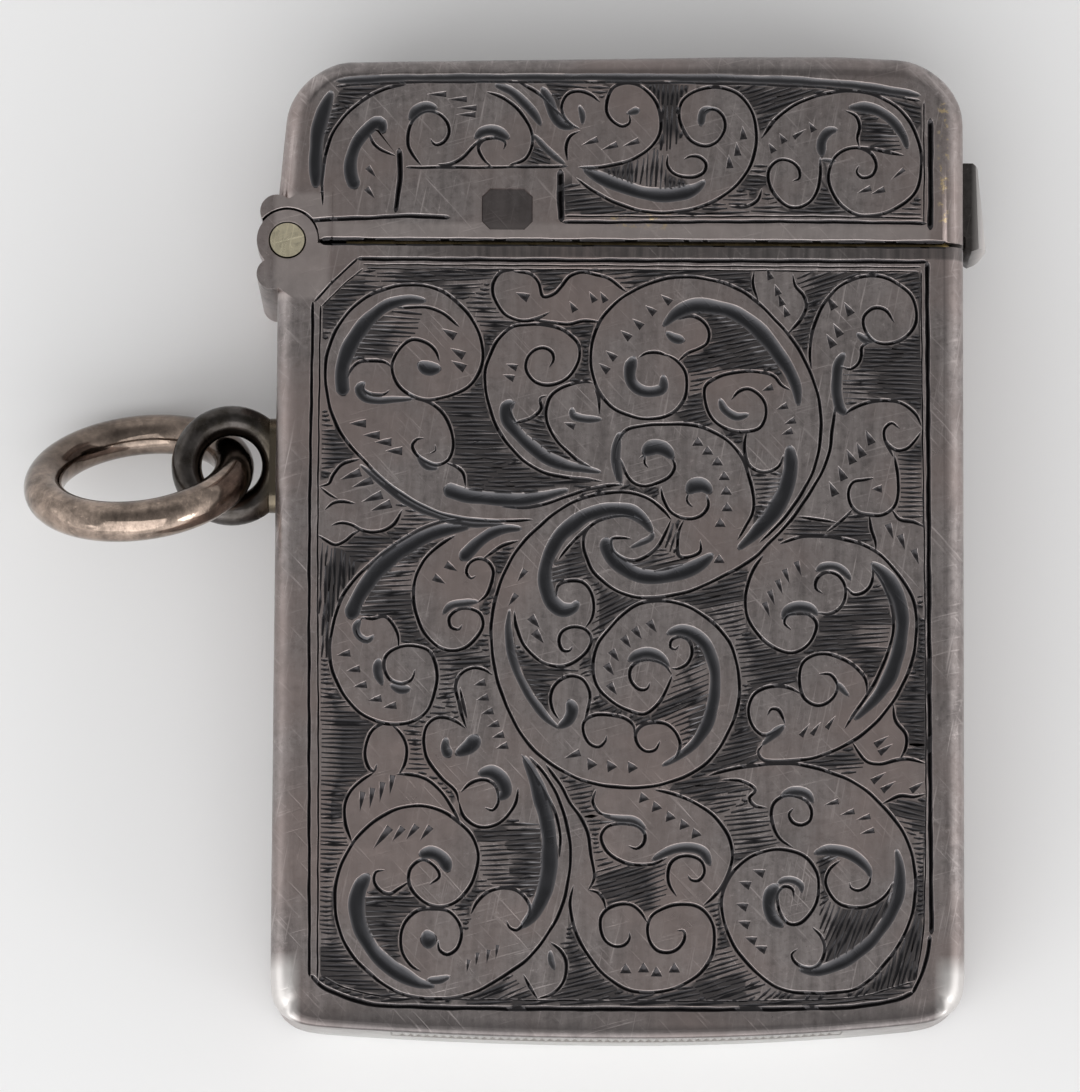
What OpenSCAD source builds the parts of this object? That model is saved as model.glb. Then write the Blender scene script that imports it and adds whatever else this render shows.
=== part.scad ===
// Pocket match case (vesta case) with a side-hinged sprung lid, a ribbed striker
// and a chain ring. All sizes are in millimetres.
// The case lies on its back: X is its width, Y runs up to the lid, Z comes out of
// the front face, and the origin is the middle of the back face.

/* [Case] */
// Width of the case over its side walls
case_w = 35; // [31:0.5:40]
// Height of the case, lid shut
case_h = 50; // [45:0.5:56]
// Thickness of the case, front face to back face
case_t = 10; // [9:0.25:12]
// Thickness of the silver sheet
wall = 0.6; // [0.45:0.05:0.8]
// Radius of the two top corners seen from the front
corner_r = 3.4; // [2.5:0.1:5]
// Radius of the two bottom corners seen from the front
foot_r = 4.3; // [2.5:0.1:5]
// Radius of the long soft edges between faces and sides
edge_r = 1.1; // [0.9:0.05:1.6]

/* [Lid] */
// Height of the lid
lid_h = 9.65; // [8:0.05:12]
// Open line between the lid and the mouth of the body
joint_gap = 0.2; // [0.1:0.01:0.3]
// Depth of the bezel strip inside the body
bezel_sunk = 2.4; // [1.5:0.1:4]
// Height of the bezel strip above the mouth
bezel_rise = 1.2; // [0.6:0.1:1.8]
// Thickness of the bezel strip
bezel_t = 0.4; // [0.3:0.05:0.6]
// Clearance between the risen bezel strip and the lid
bezel_gap = 0.1; // [0.06:0.01:0.2]
// Step from the mouth down to where the strip fits the body
bezel_step = 0.3; // [0.1:0.05:0.6]
// Clear space between the hinge blocks and the ends of the strip
bezel_short = 0.7; // [0.4:0.1:2]

/* [Hinge] */
// Diameter of the hinge pin
pin_d = 1.75; // [1.4:0.05:1.9]
// Distance of the pin axis inside the left side
pin_inset = 0.5; // [0.2:0.05:0.8]
// Height of the pin axis above the mouth
pin_rise = 0.15; // [0:0.01:0.2]
// Radius of the round ears on the body
ear_r = 1.56; // [1.45:0.01:1.8]
// Thickness of each ear, front and back
cheek_t = 1.8; // [1.4:0.1:2.4]
// Clearance of the lid round and between the ears
ear_gap = 0.07; // [0.05:0.01:0.12]
// Running clearance of the pin in the lid's knuckle, on the radius
pin_gap = 0.05; // [0.03:0.01:0.08]
// Radius of the lid's knuckle
knuckle_r = 1.5; // [1.35:0.05:1.6]
// Distance of the knuckle's two flats from the pin axis
flat_r = 1.28; // [1.2:0.02:1.34]
// Width of the hinge blocks to the right of the pin axis
block_w = 2.3; // [2:0.1:3]
// Height of the lid's hinge block above the pin axis
block_h = 2.5; // [2.4:0.1:3.2]
// Depth of the ears' feet below the pin axis
foot_h = 3.2; // [3:0.1:4]
// Length of the slanted cuts at the ears' feet
foot_cut = 0.7; // [0.3:0.1:1]
// Radius of the lid's stop lobe
lid_lobe_r = 0.85; // [0.7:0.05:0.95]
// Distance of the lid's stop lobe to the left of the pin axis
lid_lobe_x = 0.55; // [0.5:0.05:0.7]
// Height of the lid's stop lobe above the pin axis
lid_lobe_y = 1.5; // [1.4:0.05:1.6]
// Radius of the body's stop lobes
body_lobe_r = 0.8; // [0.6:0.05:0.9]
// Distance of the body's stop lobes to the left of the pin axis
body_lobe_x = 0.75; // [0.6:0.05:0.9]
// Depth of the body's stop lobes below the pin axis
body_lobe_y = 1.75; // [1.7:0.05:1.95]
// Countersink round each end of the pin
pin_sink = 0.1; // [0.05:0.01:0.15]

/* [Lid spring] */
// Thickness of the spring leaf
spring_t = 0.35; // [0.25:0.05:0.4]
// Width of the spring leaf
spring_w = 3.2; // [2:0.1:4]
// Length of the spring's foot on the wall
spring_foot = 5; // [4:0.25:8]
// Height of the slanted step between the foot and the free leaf
spring_step = 3; // [2:0.25:5]
// Length of the free leaf up to the knuckle
spring_free = 9; // [6:0.25:14]
// Clearance between the free leaf and the turning knuckle
spring_gap = 0.1; // [0.06:0.01:0.15]
// Distance of the leaf's tip below the pin axis
spring_short = 0.25; // [0.15:0.05:0.6]
// Diameter of the spring rivet
rivet_d = 1.2; // [0.8:0.1:1.6]
// Diameter of the rivet's head inside the case
rivet_head_d = 2.2; // [1.8:0.1:2.8]
// Thickness of the rivet's head
rivet_head_t = 0.4; // [0.3:0.05:0.6]

/* [Thumb piece] */
// Height of the thumb piece above the mouth
thumb_up = 4.8; // [3:0.1:6]
// Depth of the thumb piece below the mouth
thumb_down = 0.4; // [0.3:0.1:2]
// How far the thumb piece stands out
thumb_out = 1.15; // [0.8:0.05:1.6]
// Width of the thumb piece across the side
thumb_w = 5; // [4:0.25:7]
// Clearance between the thumb piece and the body
thumb_gap = 0.18; // [0.12:0.01:0.3]
// Radius of its rounded outer face
thumb_dome_r = 7.8; // [6:0.2:12]
// Taper of its outer face, from the mouth to the top
thumb_taper = 0.3; // [0.1:0.05:0.4]
// Size of the slanted cuts at its top and bottom ends
thumb_cut = 0.25; // [0.15:0.05:0.4]
// Height of its seat on the lid above the lid's edge
thumb_seat = 0.2; // [0.1:0.05:0.6]

/* [Striker] */
// Length of the ribbed striker
striker_l = 23; // [16:0.5:25]
// Width of the ribbed striker
striker_w = 4.4; // [3:0.1:5.6]
// Depth of the striker below the bottom end
striker_sunk = 0.04; // [0:0.02:0.2]
// Spacing of the ribs
rib_pitch = 0.42; // [0.36:0.02:1]
// Depth of the grooves between the ribs
rib_depth = 0.1; // [0.08:0.01:0.3]
// Ledge of the striker round its slot, inside
striker_ledge = 0.6; // [0.4:0.05:1]
// Thickness of that ledge
ledge_t = 0.5; // [0.3:0.05:0.8]
// Share of each rib's spacing that its groove takes
rib_open = 0.8; // [0.6:0.05:0.9]

/* [Chain loop and ring] */
// Height of the loop's centre above the middle of the case
loop_y = 4.4; // [0:0.1:8]
// Distance of the loop's centre outside the left side
loop_reach = 2.4; // [2.2:0.05:2.8]
// Radius of the hole in the loop
loop_hole_r = 1.55; // [1.5:0.05:2]
// Diameter of the loop's wire
loop_wire = 1.56; // [1.2:0.04:1.6]
// Length of the loop's soldered foot
loop_foot_l = 4.9; // [4:0.1:6]
// Width of the loop's soldered foot
loop_foot_w = 1.9; // [1.4:0.1:2.4]
// Thickness of the loop's soldered foot
loop_foot_t = 0.45; // [0.3:0.05:0.6]
// Radius of the ring to the middle of its wire
ring_r = 4.93; // [4.4:0.05:6]
// Diameter of the ring's wire
ring_wire = 2.05; // [1.7:0.05:2.2]
// Lean of the ring from upright
ring_lean = 35; // [28:0.5:38]
// Turn of the ring out of square with the side
ring_yaw = 7; // [0:0.5:15]
// Where the ring's wire sits in the loop, off its centre
ring_seat = 0.12; // [0:0.02:0.2]
// Height of the ring above the table
ring_lift = 0.04; // [0.02:0.01:0.1]

/* [Hidden] */
$fn = 96;
over = 1;
half_w = case_w / 2;
half_h = case_h / 2;
half_t = case_t / 2;
mouth_y = half_h - lid_h - joint_gap;
lid_y = half_h - lid_h;
body_len = case_h - lid_h - joint_gap;
pin_r = pin_d / 2;
pin_x = -half_w + pin_inset;
pin_y = mouth_y + pin_rise;
mid_t = case_t - 2 * cheek_t;
foot_top = mouth_y - pin_y;
lobe_side = body_lobe_x + body_lobe_r * 0.8;
block_foot = lid_y - pin_y;
loop_x = -half_w - loop_reach;
loop_r = loop_hole_r + loop_wire / 2;
ring_z = ring_r * cos(ring_lean) + ring_wire / 2 + ring_lift;
ring_cross = asin((half_t - ring_z) / (ring_r * cos(ring_lean)));
ring_along = ring_r * cos(ring_cross) - ring_seat;
ring_aside = ring_r * sin(ring_cross) * sin(ring_lean);
spring_x = pin_x + knuckle_r + spring_gap;
spring_tip = pin_y - spring_short;
spring_bend = spring_tip - spring_free;
spring_low = spring_bend - spring_step;
spring_end = spring_low - spring_foot;
wall_in = -half_w + wall;
rivet_y = spring_low - spring_foot / 2;
rib_count = floor((striker_l - rib_pitch) / rib_pitch / 2) * 2;

// A rectangle from the origin with its far corner rounded.
module soft_corner(w, h, r) {
    union() {
        square([w - r, h]);
        square([w, h - r]);
        translate([w - r, h - r]) circle(r);
    }
}

// Section of the sheet: side wall, soft edge and face, from the corner axis out.
module wall_section(r) {
    difference() {
        soft_corner(r, half_t, edge_r);
        soft_corner(r - wall, half_t - wall, edge_r - wall);
    }
}

// Half of a box, open at y = len, closed at y = 0, face at z = half_t.
module tray(len, r) {
    straight = len - r;
    inner_w = case_w - 2 * r;
    union() {
        translate([half_w - r, r, 0])
            rotate([0, 0, 270])
                rotate_extrude(angle = 90) wall_section(r);
        translate([-half_w + r, r, 0])
            rotate([0, 0, 180])
                rotate_extrude(angle = 90) wall_section(r);
        translate([half_w - r, len, 0])
            rotate([90, 0, 0])
                linear_extrude(straight) wall_section(r);
        mirror([1, 0, 0])
            translate([half_w - r, len, 0])
                rotate([90, 0, 0])
                    linear_extrude(straight) wall_section(r);
        translate([half_w - r, r, 0])
            rotate([0, 0, -90])
                rotate([90, 0, 0])
                    linear_extrude(inner_w) wall_section(r);
        translate([-inner_w / 2, r, half_t - wall])
            cube([inner_w, straight, wall]);
    }
}

// An ear with its foot and stop lobe, about the pin axis.
module ear_block(h) {
    union() {
        cylinder(h = h, r = ear_r);
        translate([-body_lobe_x, -body_lobe_y, 0]) cylinder(h = h, r = body_lobe_r);
        linear_extrude(h)
            polygon([
                [-pin_inset, foot_top],
                [block_w, foot_top],
                [block_w, -foot_h + foot_cut],
                [block_w - foot_cut, -foot_h],
                [-pin_inset + edge_r, -foot_h],
                [-lobe_side, -body_lobe_y]]);
    }
}

// Outline of the lid's hinge block with its stop lobe, about the pin axis.
module block_outline() {
    union() {
        translate([-lid_lobe_x, lid_lobe_y]) circle(lid_lobe_r);
        polygon([
            [-pin_inset, block_foot],
            [block_w, block_foot],
            [block_w, block_h],
            [-pin_inset + edge_r, block_h],
            [-pin_inset, lid_lobe_y + lid_lobe_r * 0.3]]);
    }
}

// Knuckle with two flats that the spring rests on, about the pin axis.
module knuckle_outline() {
    intersection() {
        circle(knuckle_r);
        translate([-knuckle_r - over, -flat_r])
            square([knuckle_r + over + flat_r, flat_r + knuckle_r + over]);
    }
}

// Room that the hinge takes out of the body's sheet.
module hinge_room() {
    translate([pin_x, pin_y, case_t - cheek_t]) ear_block(cheek_t + over);
    translate([pin_x, pin_y, -over]) ear_block(cheek_t + over);
    translate([pin_x, pin_y, cheek_t])
        cylinder(h = mid_t, r = knuckle_r + 2 * ear_gap);
}

module striker_slot() {
    translate([-striker_l / 2, -half_h - over, half_t - striker_w / 2])
        cube([striker_l, wall + 2 * over, striker_w]);
}

module rivet_hole() {
    translate([-half_w - over, rivet_y, half_t])
        rotate([0, 90, 0])
            cylinder(h = wall + 2 * over, d = rivet_d);
}

module body_front_shell() {
    color("#8a8280")
    difference() {
        translate([0, -half_h, half_t]) tray(body_len, foot_r);
        hinge_room();
        striker_slot();
        rivet_hole();
    }
}

module body_back_shell() {
    color("#7d7674")
    difference() {
        translate([0, -half_h, half_t]) mirror([0, 0, 1]) tray(body_len, foot_r);
        hinge_room();
        striker_slot();
        rivet_hole();
    }
}

module cheek() {
    difference() {
        ear_block(cheek_t);
        translate([0, 0, -over]) cylinder(h = cheek_t + 2 * over, r = pin_r);
        translate([0, 0, cheek_t - pin_sink])
            cylinder(h = 2 * pin_sink, r1 = pin_r, r2 = pin_r + 2 * pin_sink);
    }
}

module front_hinge_cheek() {
    color("#938b88")
    translate([pin_x, pin_y, case_t - cheek_t]) cheek();
}

module back_hinge_cheek() {
    color("#938b88")
    translate([pin_x, pin_y, cheek_t]) mirror([0, 0, 1]) cheek();
}

// Rectangle about the origin with rounded corners, by its half sizes.
module soft_rectangle(w, h, r) {
    union() {
        square([2 * (w - r), 2 * h], center = true);
        square([2 * w, 2 * (h - r)], center = true);
        for (i = [-1, 1], j = [-1, 1])
            translate([i * (w - r), j * (h - r)]) circle(r);
    }
}

// Section of the bezel strip across the mouth, open on the hinge side.
module bezel_section(gap, r) {
    inner_w = half_w - wall - bezel_gap - bezel_t;
    inner_t = half_t - wall - bezel_gap - bezel_t;
    open_w = pin_inset + block_w + bezel_short;
    difference() {
        soft_rectangle(half_w - wall - gap, half_t - wall - gap, r);
        square([2 * inner_w, 2 * inner_t], center = true);
        translate([-half_w, -half_t]) square([open_w, case_t]);
    }
}

module mouth_bezel() {
    inner_r = edge_r - wall;
    color("#b9a06a")
    translate([0, 0, half_t])
        rotate([90, 0, 0])
            union() {
                translate([0, 0, -mouth_y - bezel_rise])
                    linear_extrude(bezel_rise + bezel_step)
                        bezel_section(bezel_gap, inner_r);
                translate([0, 0, -mouth_y + bezel_step])
                    linear_extrude(bezel_sunk - bezel_step)
                        bezel_section(0, inner_r + bezel_t);
            }
}

// Outline of one groove between the ribs, open downwards.
module rib_groove() {
    half = rib_pitch * rib_open / 2;
    polygon([[-half, 0], [-half, -over], [half, -over], [half, 0], [0, rib_depth]]);
}

module striker_plate() {
    color("#77716e")
    difference() {
        union() {
            translate([-striker_l / 2, -half_h + striker_sunk, half_t - striker_w / 2])
                cube([striker_l, wall - striker_sunk, striker_w]);
            translate([-striker_l / 2 - striker_ledge, -half_h + wall,
                    half_t - striker_w / 2 - striker_ledge])
                cube([striker_l + 2 * striker_ledge, ledge_t,
                    striker_w + 2 * striker_ledge]);
        }
        for (i = [-rib_count / 2 : rib_count / 2])
            translate([i * rib_pitch, -half_h + striker_sunk, 0])
                linear_extrude(case_t) rib_groove();
    }
}

module hinge_pin() {
    color("#c9b68d")
    translate([pin_x, pin_y, 0]) cylinder(h = case_t, r = pin_r);
}

// Bent leaf: foot on the wall, slanted step, free leaf beside the knuckle.
module lid_spring() {
    color("#5f6468")
    difference() {
        translate([0, 0, half_t - spring_w / 2])
            linear_extrude(spring_w)
                polygon([
                    [wall_in, spring_end],
                    [wall_in + spring_t, spring_end],
                    [wall_in + spring_t, spring_low],
                    [spring_x + spring_t, spring_bend],
                    [spring_x + spring_t, spring_tip],
                    [spring_x, spring_tip],
                    [spring_x, spring_bend + spring_t / 2],
                    [wall_in, spring_low + spring_t / 2]]);
        translate([wall_in - over, rivet_y, half_t])
            rotate([0, 90, 0])
                cylinder(h = spring_t + 2 * over, d = rivet_d);
    }
}

module spring_rivet() {
    color("#9a9492")
    translate([-half_w, rivet_y, half_t])
        rotate([0, 90, 0])
            union() {
                cylinder(h = wall + spring_t, d = rivet_d);
                translate([0, 0, wall + spring_t])
                    cylinder(h = rivet_head_t, d = rivet_head_d);
            }
}

// Wire loop, cut flat where it meets the side, on a soldered foot.
module suspension_loop() {
    color("#5d5148")
    union() {
        difference() {
            translate([loop_x, loop_y, half_t])
                rotate_extrude()
                    translate([loop_r, 0]) circle(d = loop_wire);
            translate([-half_w, loop_y - 2 * loop_r, 0])
                cube([2 * loop_r, 4 * loop_r, case_t]);
        }
        translate([-half_w - loop_foot_t, loop_y, half_t])
            rotate([0, 90, 0])
                linear_extrude(loop_foot_t) foot_outline();
    }
}

module foot_outline() {
    union() {
        square([loop_foot_w, loop_foot_l - loop_foot_w], center = true);
        for (i = [-1, 1])
            translate([0, i * (loop_foot_l - loop_foot_w) / 2])
                circle(d = loop_foot_w);
    }
}

module block_room() {
    translate([pin_x, pin_y, -over])
        linear_extrude(case_t + 2 * over) block_outline();
}

module lid_tray() {
    translate([0, half_h, 0]) mirror([0, 1, 0]) tray(lid_h, corner_r);
}

module lid_front_shell() {
    color("#8f8785")
    difference() {
        translate([0, 0, half_t]) lid_tray();
        block_room();
    }
}

module lid_back_shell() {
    color("#827b79")
    difference() {
        translate([0, 0, half_t]) mirror([0, 0, 1]) lid_tray();
        block_room();
    }
}

// Full-thickness block: hollowed over the ears, with the knuckle between them.
module lid_hinge_block() {
    color("#968e8b")
    translate([pin_x, pin_y, 0])
        union() {
            for (z = [0, case_t - cheek_t - ear_gap])
                translate([0, 0, z])
                    linear_extrude(cheek_t + ear_gap)
                        difference() {
                            block_outline();
                            circle(ear_r + ear_gap);
                        }
            translate([0, 0, cheek_t + ear_gap])
                linear_extrude(mid_t - 2 * ear_gap)
                    difference() {
                        union() {
                            block_outline();
                            knuckle_outline();
                        }
                        circle(pin_r + pin_gap);
                    }
        }
}

// Side view of the thumb piece, from the wall out and from the mouth up.
module thumb_outline() {
    top = thumb_out - thumb_taper;
    seat = joint_gap + thumb_seat;
    polygon([
        [0, thumb_up],
        [top - thumb_cut, thumb_up],
        [top, thumb_up - thumb_cut],
        [thumb_out, -thumb_down + 2 * thumb_cut],
        [thumb_out - thumb_cut, -thumb_down + thumb_cut],
        [thumb_gap + thumb_cut, -thumb_down],
        [thumb_gap, -thumb_down + thumb_cut],
        [thumb_gap, seat],
        [0, seat + thumb_gap]]);
}

module thumb_piece() {
    color("#8b8583")
    intersection() {
        translate([half_w, mouth_y, half_t - thumb_w / 2])
            linear_extrude(thumb_w) thumb_outline();
        translate([half_w + thumb_out - thumb_dome_r, mouth_y - 2 * thumb_down, half_t])
            rotate([-90, 0, 0])
                cylinder(h = thumb_up + 4 * thumb_down, r = thumb_dome_r, $fn = 192);
    }
}

module suspension_ring() {
    color("#54483f")
    translate([
            loop_x - ring_along * cos(ring_yaw) - ring_aside * sin(ring_yaw),
            loop_y - ring_along * sin(ring_yaw) + ring_aside * cos(ring_yaw),
            ring_z])
        rotate([0, 0, ring_yaw])
            rotate([90 + ring_lean, 0, 0])
                rotate_extrude()
                    translate([ring_r, 0]) circle(d = ring_wire);
}

body_front_shell();
body_back_shell();
front_hinge_cheek();
back_hinge_cheek();
mouth_bezel();
striker_plate();
hinge_pin();
lid_spring();
spring_rivet();
suspension_loop();
lid_front_shell();
lid_back_shell();
lid_hinge_block();
thumb_piece();
suspension_ring();
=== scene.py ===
# %% [markdown]
# This lesson dresses a silver vesta case: a flat pocket box for wax matches, with a lid that swings
# sideways, a chain ring and engraved leaf scrolls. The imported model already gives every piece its
# place and size, so nothing is moved here. The scrolls are really cut into the sheet, as a graver
# would cut them, because a picture on a flat face would not catch the light along its edges.

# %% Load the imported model
import math
import random
from collections import deque

import bmesh
import bpy
import numpy as np
from mathutils import Matrix, Vector


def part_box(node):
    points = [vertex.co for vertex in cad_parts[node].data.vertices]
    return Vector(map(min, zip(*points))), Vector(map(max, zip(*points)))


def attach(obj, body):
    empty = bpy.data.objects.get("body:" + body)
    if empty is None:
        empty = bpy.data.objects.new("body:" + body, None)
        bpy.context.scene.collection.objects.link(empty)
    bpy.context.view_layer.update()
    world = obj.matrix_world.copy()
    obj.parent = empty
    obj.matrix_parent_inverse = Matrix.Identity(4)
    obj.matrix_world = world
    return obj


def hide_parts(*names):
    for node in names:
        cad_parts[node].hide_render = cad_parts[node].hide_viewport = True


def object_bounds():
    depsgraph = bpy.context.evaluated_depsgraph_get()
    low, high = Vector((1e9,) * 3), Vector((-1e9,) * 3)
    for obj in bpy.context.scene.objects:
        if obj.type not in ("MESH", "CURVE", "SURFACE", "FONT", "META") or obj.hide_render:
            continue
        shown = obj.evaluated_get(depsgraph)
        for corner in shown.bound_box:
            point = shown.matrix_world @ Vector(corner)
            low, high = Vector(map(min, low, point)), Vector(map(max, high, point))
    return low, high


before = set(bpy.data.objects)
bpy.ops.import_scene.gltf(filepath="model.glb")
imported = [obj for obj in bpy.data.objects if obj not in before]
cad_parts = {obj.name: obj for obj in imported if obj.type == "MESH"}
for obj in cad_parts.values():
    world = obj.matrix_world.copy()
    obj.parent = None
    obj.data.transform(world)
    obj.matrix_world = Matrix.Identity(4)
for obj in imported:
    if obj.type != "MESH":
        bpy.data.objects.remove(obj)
cad_low, cad_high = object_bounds()
MM = 0.001
print("nodes:", sorted(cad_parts))

# %% [markdown]
# The photograph looks down on the case from almost straight above, a little from the side of the
# striker. A long lens from some way off gives that flat view. The camera's axes are written out, so
# that the slight roll of the picture is one angle and needs no trial and error.

# %% Camera
AIM = Vector((-4.03, -0.38, 10.0)) * MM
CAMERA_AWAY = 380 * MM
CAMERA_TILT = math.radians(7.97)
CAMERA_ROLL = math.radians(0.33)
LENS_MM = 249.94
SENSOR_MM = 36.0

look = Vector((0, math.sin(CAMERA_TILT), -math.cos(CAMERA_TILT)))
level_right = Vector((1, 0, 0))
level_up = level_right.cross(look)
right = math.cos(CAMERA_ROLL) * level_right + math.sin(CAMERA_ROLL) * level_up
camera_data = bpy.data.cameras.new("camera")
camera_data.lens = LENS_MM
camera_data.sensor_width = SENSOR_MM
camera_data.sensor_fit = "HORIZONTAL"
camera_data.clip_start = 0.01
camera = bpy.data.objects.new("camera", camera_data)
axes = Matrix((right, right.cross(look), -look)).transposed()
camera.matrix_world = Matrix.Translation(AIM - look * CAMERA_AWAY) @ axes.to_4x4()
bpy.context.collection.objects.link(camera)
bpy.context.scene.camera = camera
bpy.context.scene.view_settings.view_transform = "Standard"
print("camera at", [round(v, 4) for v in camera.location])

# %% [markdown]
# Metal shows what is around it. The room here is a pale dome, darker overhead, where a camera would
# hang, and brighter towards the table. So the flat face stays quiet, and the sloping sides of the
# cuts and of the rims light up. A large soft lamp on the striker's side gives the shadow, and two
# small ones, left and right, give the corners their glints.

# %% Node helper
def add_node(tree, kind, links=(), **settings):
    """Adds a shader node, sets its properties and joins or sets its inputs."""
    made = tree.nodes.new(kind)
    for key, value in settings.items():
        setattr(made, key, value)
    for key, value in dict(links).items():
        if isinstance(value, bpy.types.NodeSocket):
            tree.links.new(value, made.inputs[key])
        else:
            made.inputs[key].default_value = value
    return made


# %% Room light, lamps and table
ROOM_OVERHEAD = 0.35
ROOM_LOW = 1.4
LAMPS = {
    "soft_lamp": ((-0.10, -0.44, 0.48), 0.8, 2.9),
    "left_glint": ((-0.44, -0.30, 0.30), 0.1, 0.1),
    "right_glint": ((0.44, -0.30, 0.30), 0.16, 0.22),
}
FAR_SIDE = 0.53

world = bpy.data.worlds.new("room")
world.use_nodes = True
bpy.context.scene.world = world
room = world.node_tree
room.nodes.clear()
direction = add_node(room, "ShaderNodeTexCoord")
height = add_node(room, "ShaderNodeSeparateXYZ", {0: direction.outputs["Generated"]})
dimmer = add_node(room, "ShaderNodeMapRange", {
    "Value": height.outputs["Z"], "From Min": 0.35, "From Max": 0.95,
    "To Min": ROOM_LOW, "To Max": ROOM_OVERHEAD}, interpolation_type="SMOOTHSTEP")
far_side = add_node(room, "ShaderNodeMapRange", {
    "Value": height.outputs["Y"], "From Min": 0.0, "From Max": 0.6, "To Min": 1.0, "To Max": FAR_SIDE})
strength = add_node(room, "ShaderNodeMath", {
    0: dimmer.outputs["Result"], 1: far_side.outputs["Result"]}, operation="MULTIPLY")
glow = add_node(room, "ShaderNodeBackground", {
    "Color": (1.0, 1.0, 1.0, 1), "Strength": strength.outputs[0]})
add_node(room, "ShaderNodeOutputWorld", {"Surface": glow.outputs[0]})

for lamp_name, (lamp_place, lamp_size, lamp_watts) in LAMPS.items():
    lamp_data = bpy.data.lights.new(lamp_name, "AREA")
    lamp_data.energy = lamp_watts
    lamp_data.size = lamp_size
    lamp = bpy.data.objects.new(lamp_name, lamp_data)
    lamp.location = lamp_place
    lamp.rotation_euler = (-lamp.location).to_track_quat("-Z", "Y").to_euler()
    bpy.context.collection.objects.link(lamp)

table_paint = bpy.data.materials.new("table_paint")
table_paint.use_nodes = True
paint = table_paint.node_tree
place = add_node(paint, "ShaderNodeTexCoord").outputs["Object"]
cloud = add_node(paint, "ShaderNodeTexNoise", {"Vector": place, "Scale": 9.0, "Detail": 3.0})
shade = add_node(paint, "ShaderNodeValToRGB", {"Fac": cloud.outputs["Fac"]})
shade.color_ramp.elements[0].color = (0.80, 0.795, 0.795, 1)
shade.color_ramp.elements[1].color = (0.86, 0.86, 0.86, 1)
paint.links.new(shade.outputs["Color"], paint.nodes["Principled BSDF"].inputs["Base Color"])
paint.nodes["Principled BSDF"].inputs["Roughness"].default_value = 0.6

TABLE_SIDE = 3.0
table_form = bmesh.new()
bmesh.ops.create_grid(table_form, x_segments=1, y_segments=1, size=TABLE_SIDE / 2)
table_mesh = bpy.data.meshes.new("table")
table_form.to_mesh(table_mesh)
table_form.free()
table_mesh.materials.append(table_paint)
table = bpy.data.objects.new("table", table_mesh)
table.location.z = cad_low.z - 0.02 * MM
bpy.context.collection.objects.link(table)
print("lamps, room and table are set")

# %% [markdown]
# An engraver draws each leaf as one flowing cut. Here a cut is a few points, in
# millimetres on the face, and a smooth curve runs through them. The curve keeps to the points, so a
# leaf can be corrected by moving one of them.

# %% Smooth curve through a few points
CUT_STEP = 0.16


def smooth_path(points, step=CUT_STEP):
    """Points about a step apart on a smooth curve through the given points."""
    given = np.array(points, float)
    first = 2 * given[0] - given[1]
    last = 2 * given[-1] - given[-2]
    given = np.vstack([first, given, last])
    path = []
    for a, b, c, d in zip(given[:-3], given[1:-2], given[2:-1], given[3:]):
        before, here, after = (math.sqrt(np.linalg.norm(v)) for v in (b - a, c - b, d - c))
        leave = here * ((b - a) / before - (c - a) / (before + here) + (c - b) / here)
        arrive = here * ((c - b) / here - (d - b) / (here + after) + (d - c) / after)
        count = max(1, math.ceil(here * here / step))
        for t in np.arange(count) / count:
            path.append((2 * t**3 - 3 * t**2 + 1) * b + (t**3 - 2 * t**2 + t) * leave
                        + (3 * t**2 - 2 * t**3) * c + (t**3 - t**2) * arrive)
    path.append(given[-2])
    return np.array(path)


print("three points become", len(smooth_path([(0, 0), (1, 1), (2, 0)])), "points of a curve")


# %% [markdown]
# A graver cuts a V, wider where it goes deeper, so one outline scaled along the way is enough. The
# four tools below are those outlines for a cut one millimetre wide: a V for lines, a shallow round
# one, steeper on one side, for the broad scooped gouges beside the stems, a blunt V for nicks and a
# deep one for the ground. A cut swells from its start and lifts at its end, and a nick does so in
# one short stroke with a blunt end.

# %% Gravers and strokes
TOOL_TOP = [(-0.5, 0.0), (-0.55, 0.12), (0.55, 0.12), (0.5, 0.0)]
TOOL_OUTLINES = {
    "v": [*TOOL_TOP, (0.44, -0.03), (0.0, -0.5), (-0.44, -0.03)],
    "scoop": [*TOOL_TOP, (0.42, -0.05), (0.3, -0.105), (0.15, -0.14), (0.0, -0.145), (-0.2, -0.115),
              (-0.36, -0.06)],
    "nick": [*TOOL_TOP, (0.44, -0.03), (0.05, -0.36), (-0.44, -0.03)],
    "hatch": [(-0.5, 0.0), (-0.58, 0.12), (0.58, 0.12), (0.5, 0.0), (0.0, -0.58)],
}
THIN_END = 0.22
chance = random.Random(7)


def make_tool(name, outline):
    """A closed outline that the cuts carry along their way."""
    shape = bpy.data.curves.new("tool_" + name, "CURVE")
    edge = shape.splines.new("POLY")
    edge.points.add(len(outline) - 1)
    for point, (across, up) in zip(edge.points, outline):
        point.co = (across * MM, up * MM, 0, 1)
    edge.use_cyclic_u = True
    return bpy.data.objects.new("tool_" + name, shape)


def swell(path, width, rise, fall):
    """Width along a path that swells over the first millimetres and thins over the last ones."""
    run = np.concatenate([[0], np.cumsum(np.linalg.norm(np.diff(path, axis=0), axis=1))])
    up = np.clip(run / max(rise, 1e-6), 0, 1)
    down = np.clip((run[-1] - run) / max(fall, 1e-6), 0, 1)
    return width * (THIN_END + (1 - THIN_END) * np.sqrt(up * down))


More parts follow.
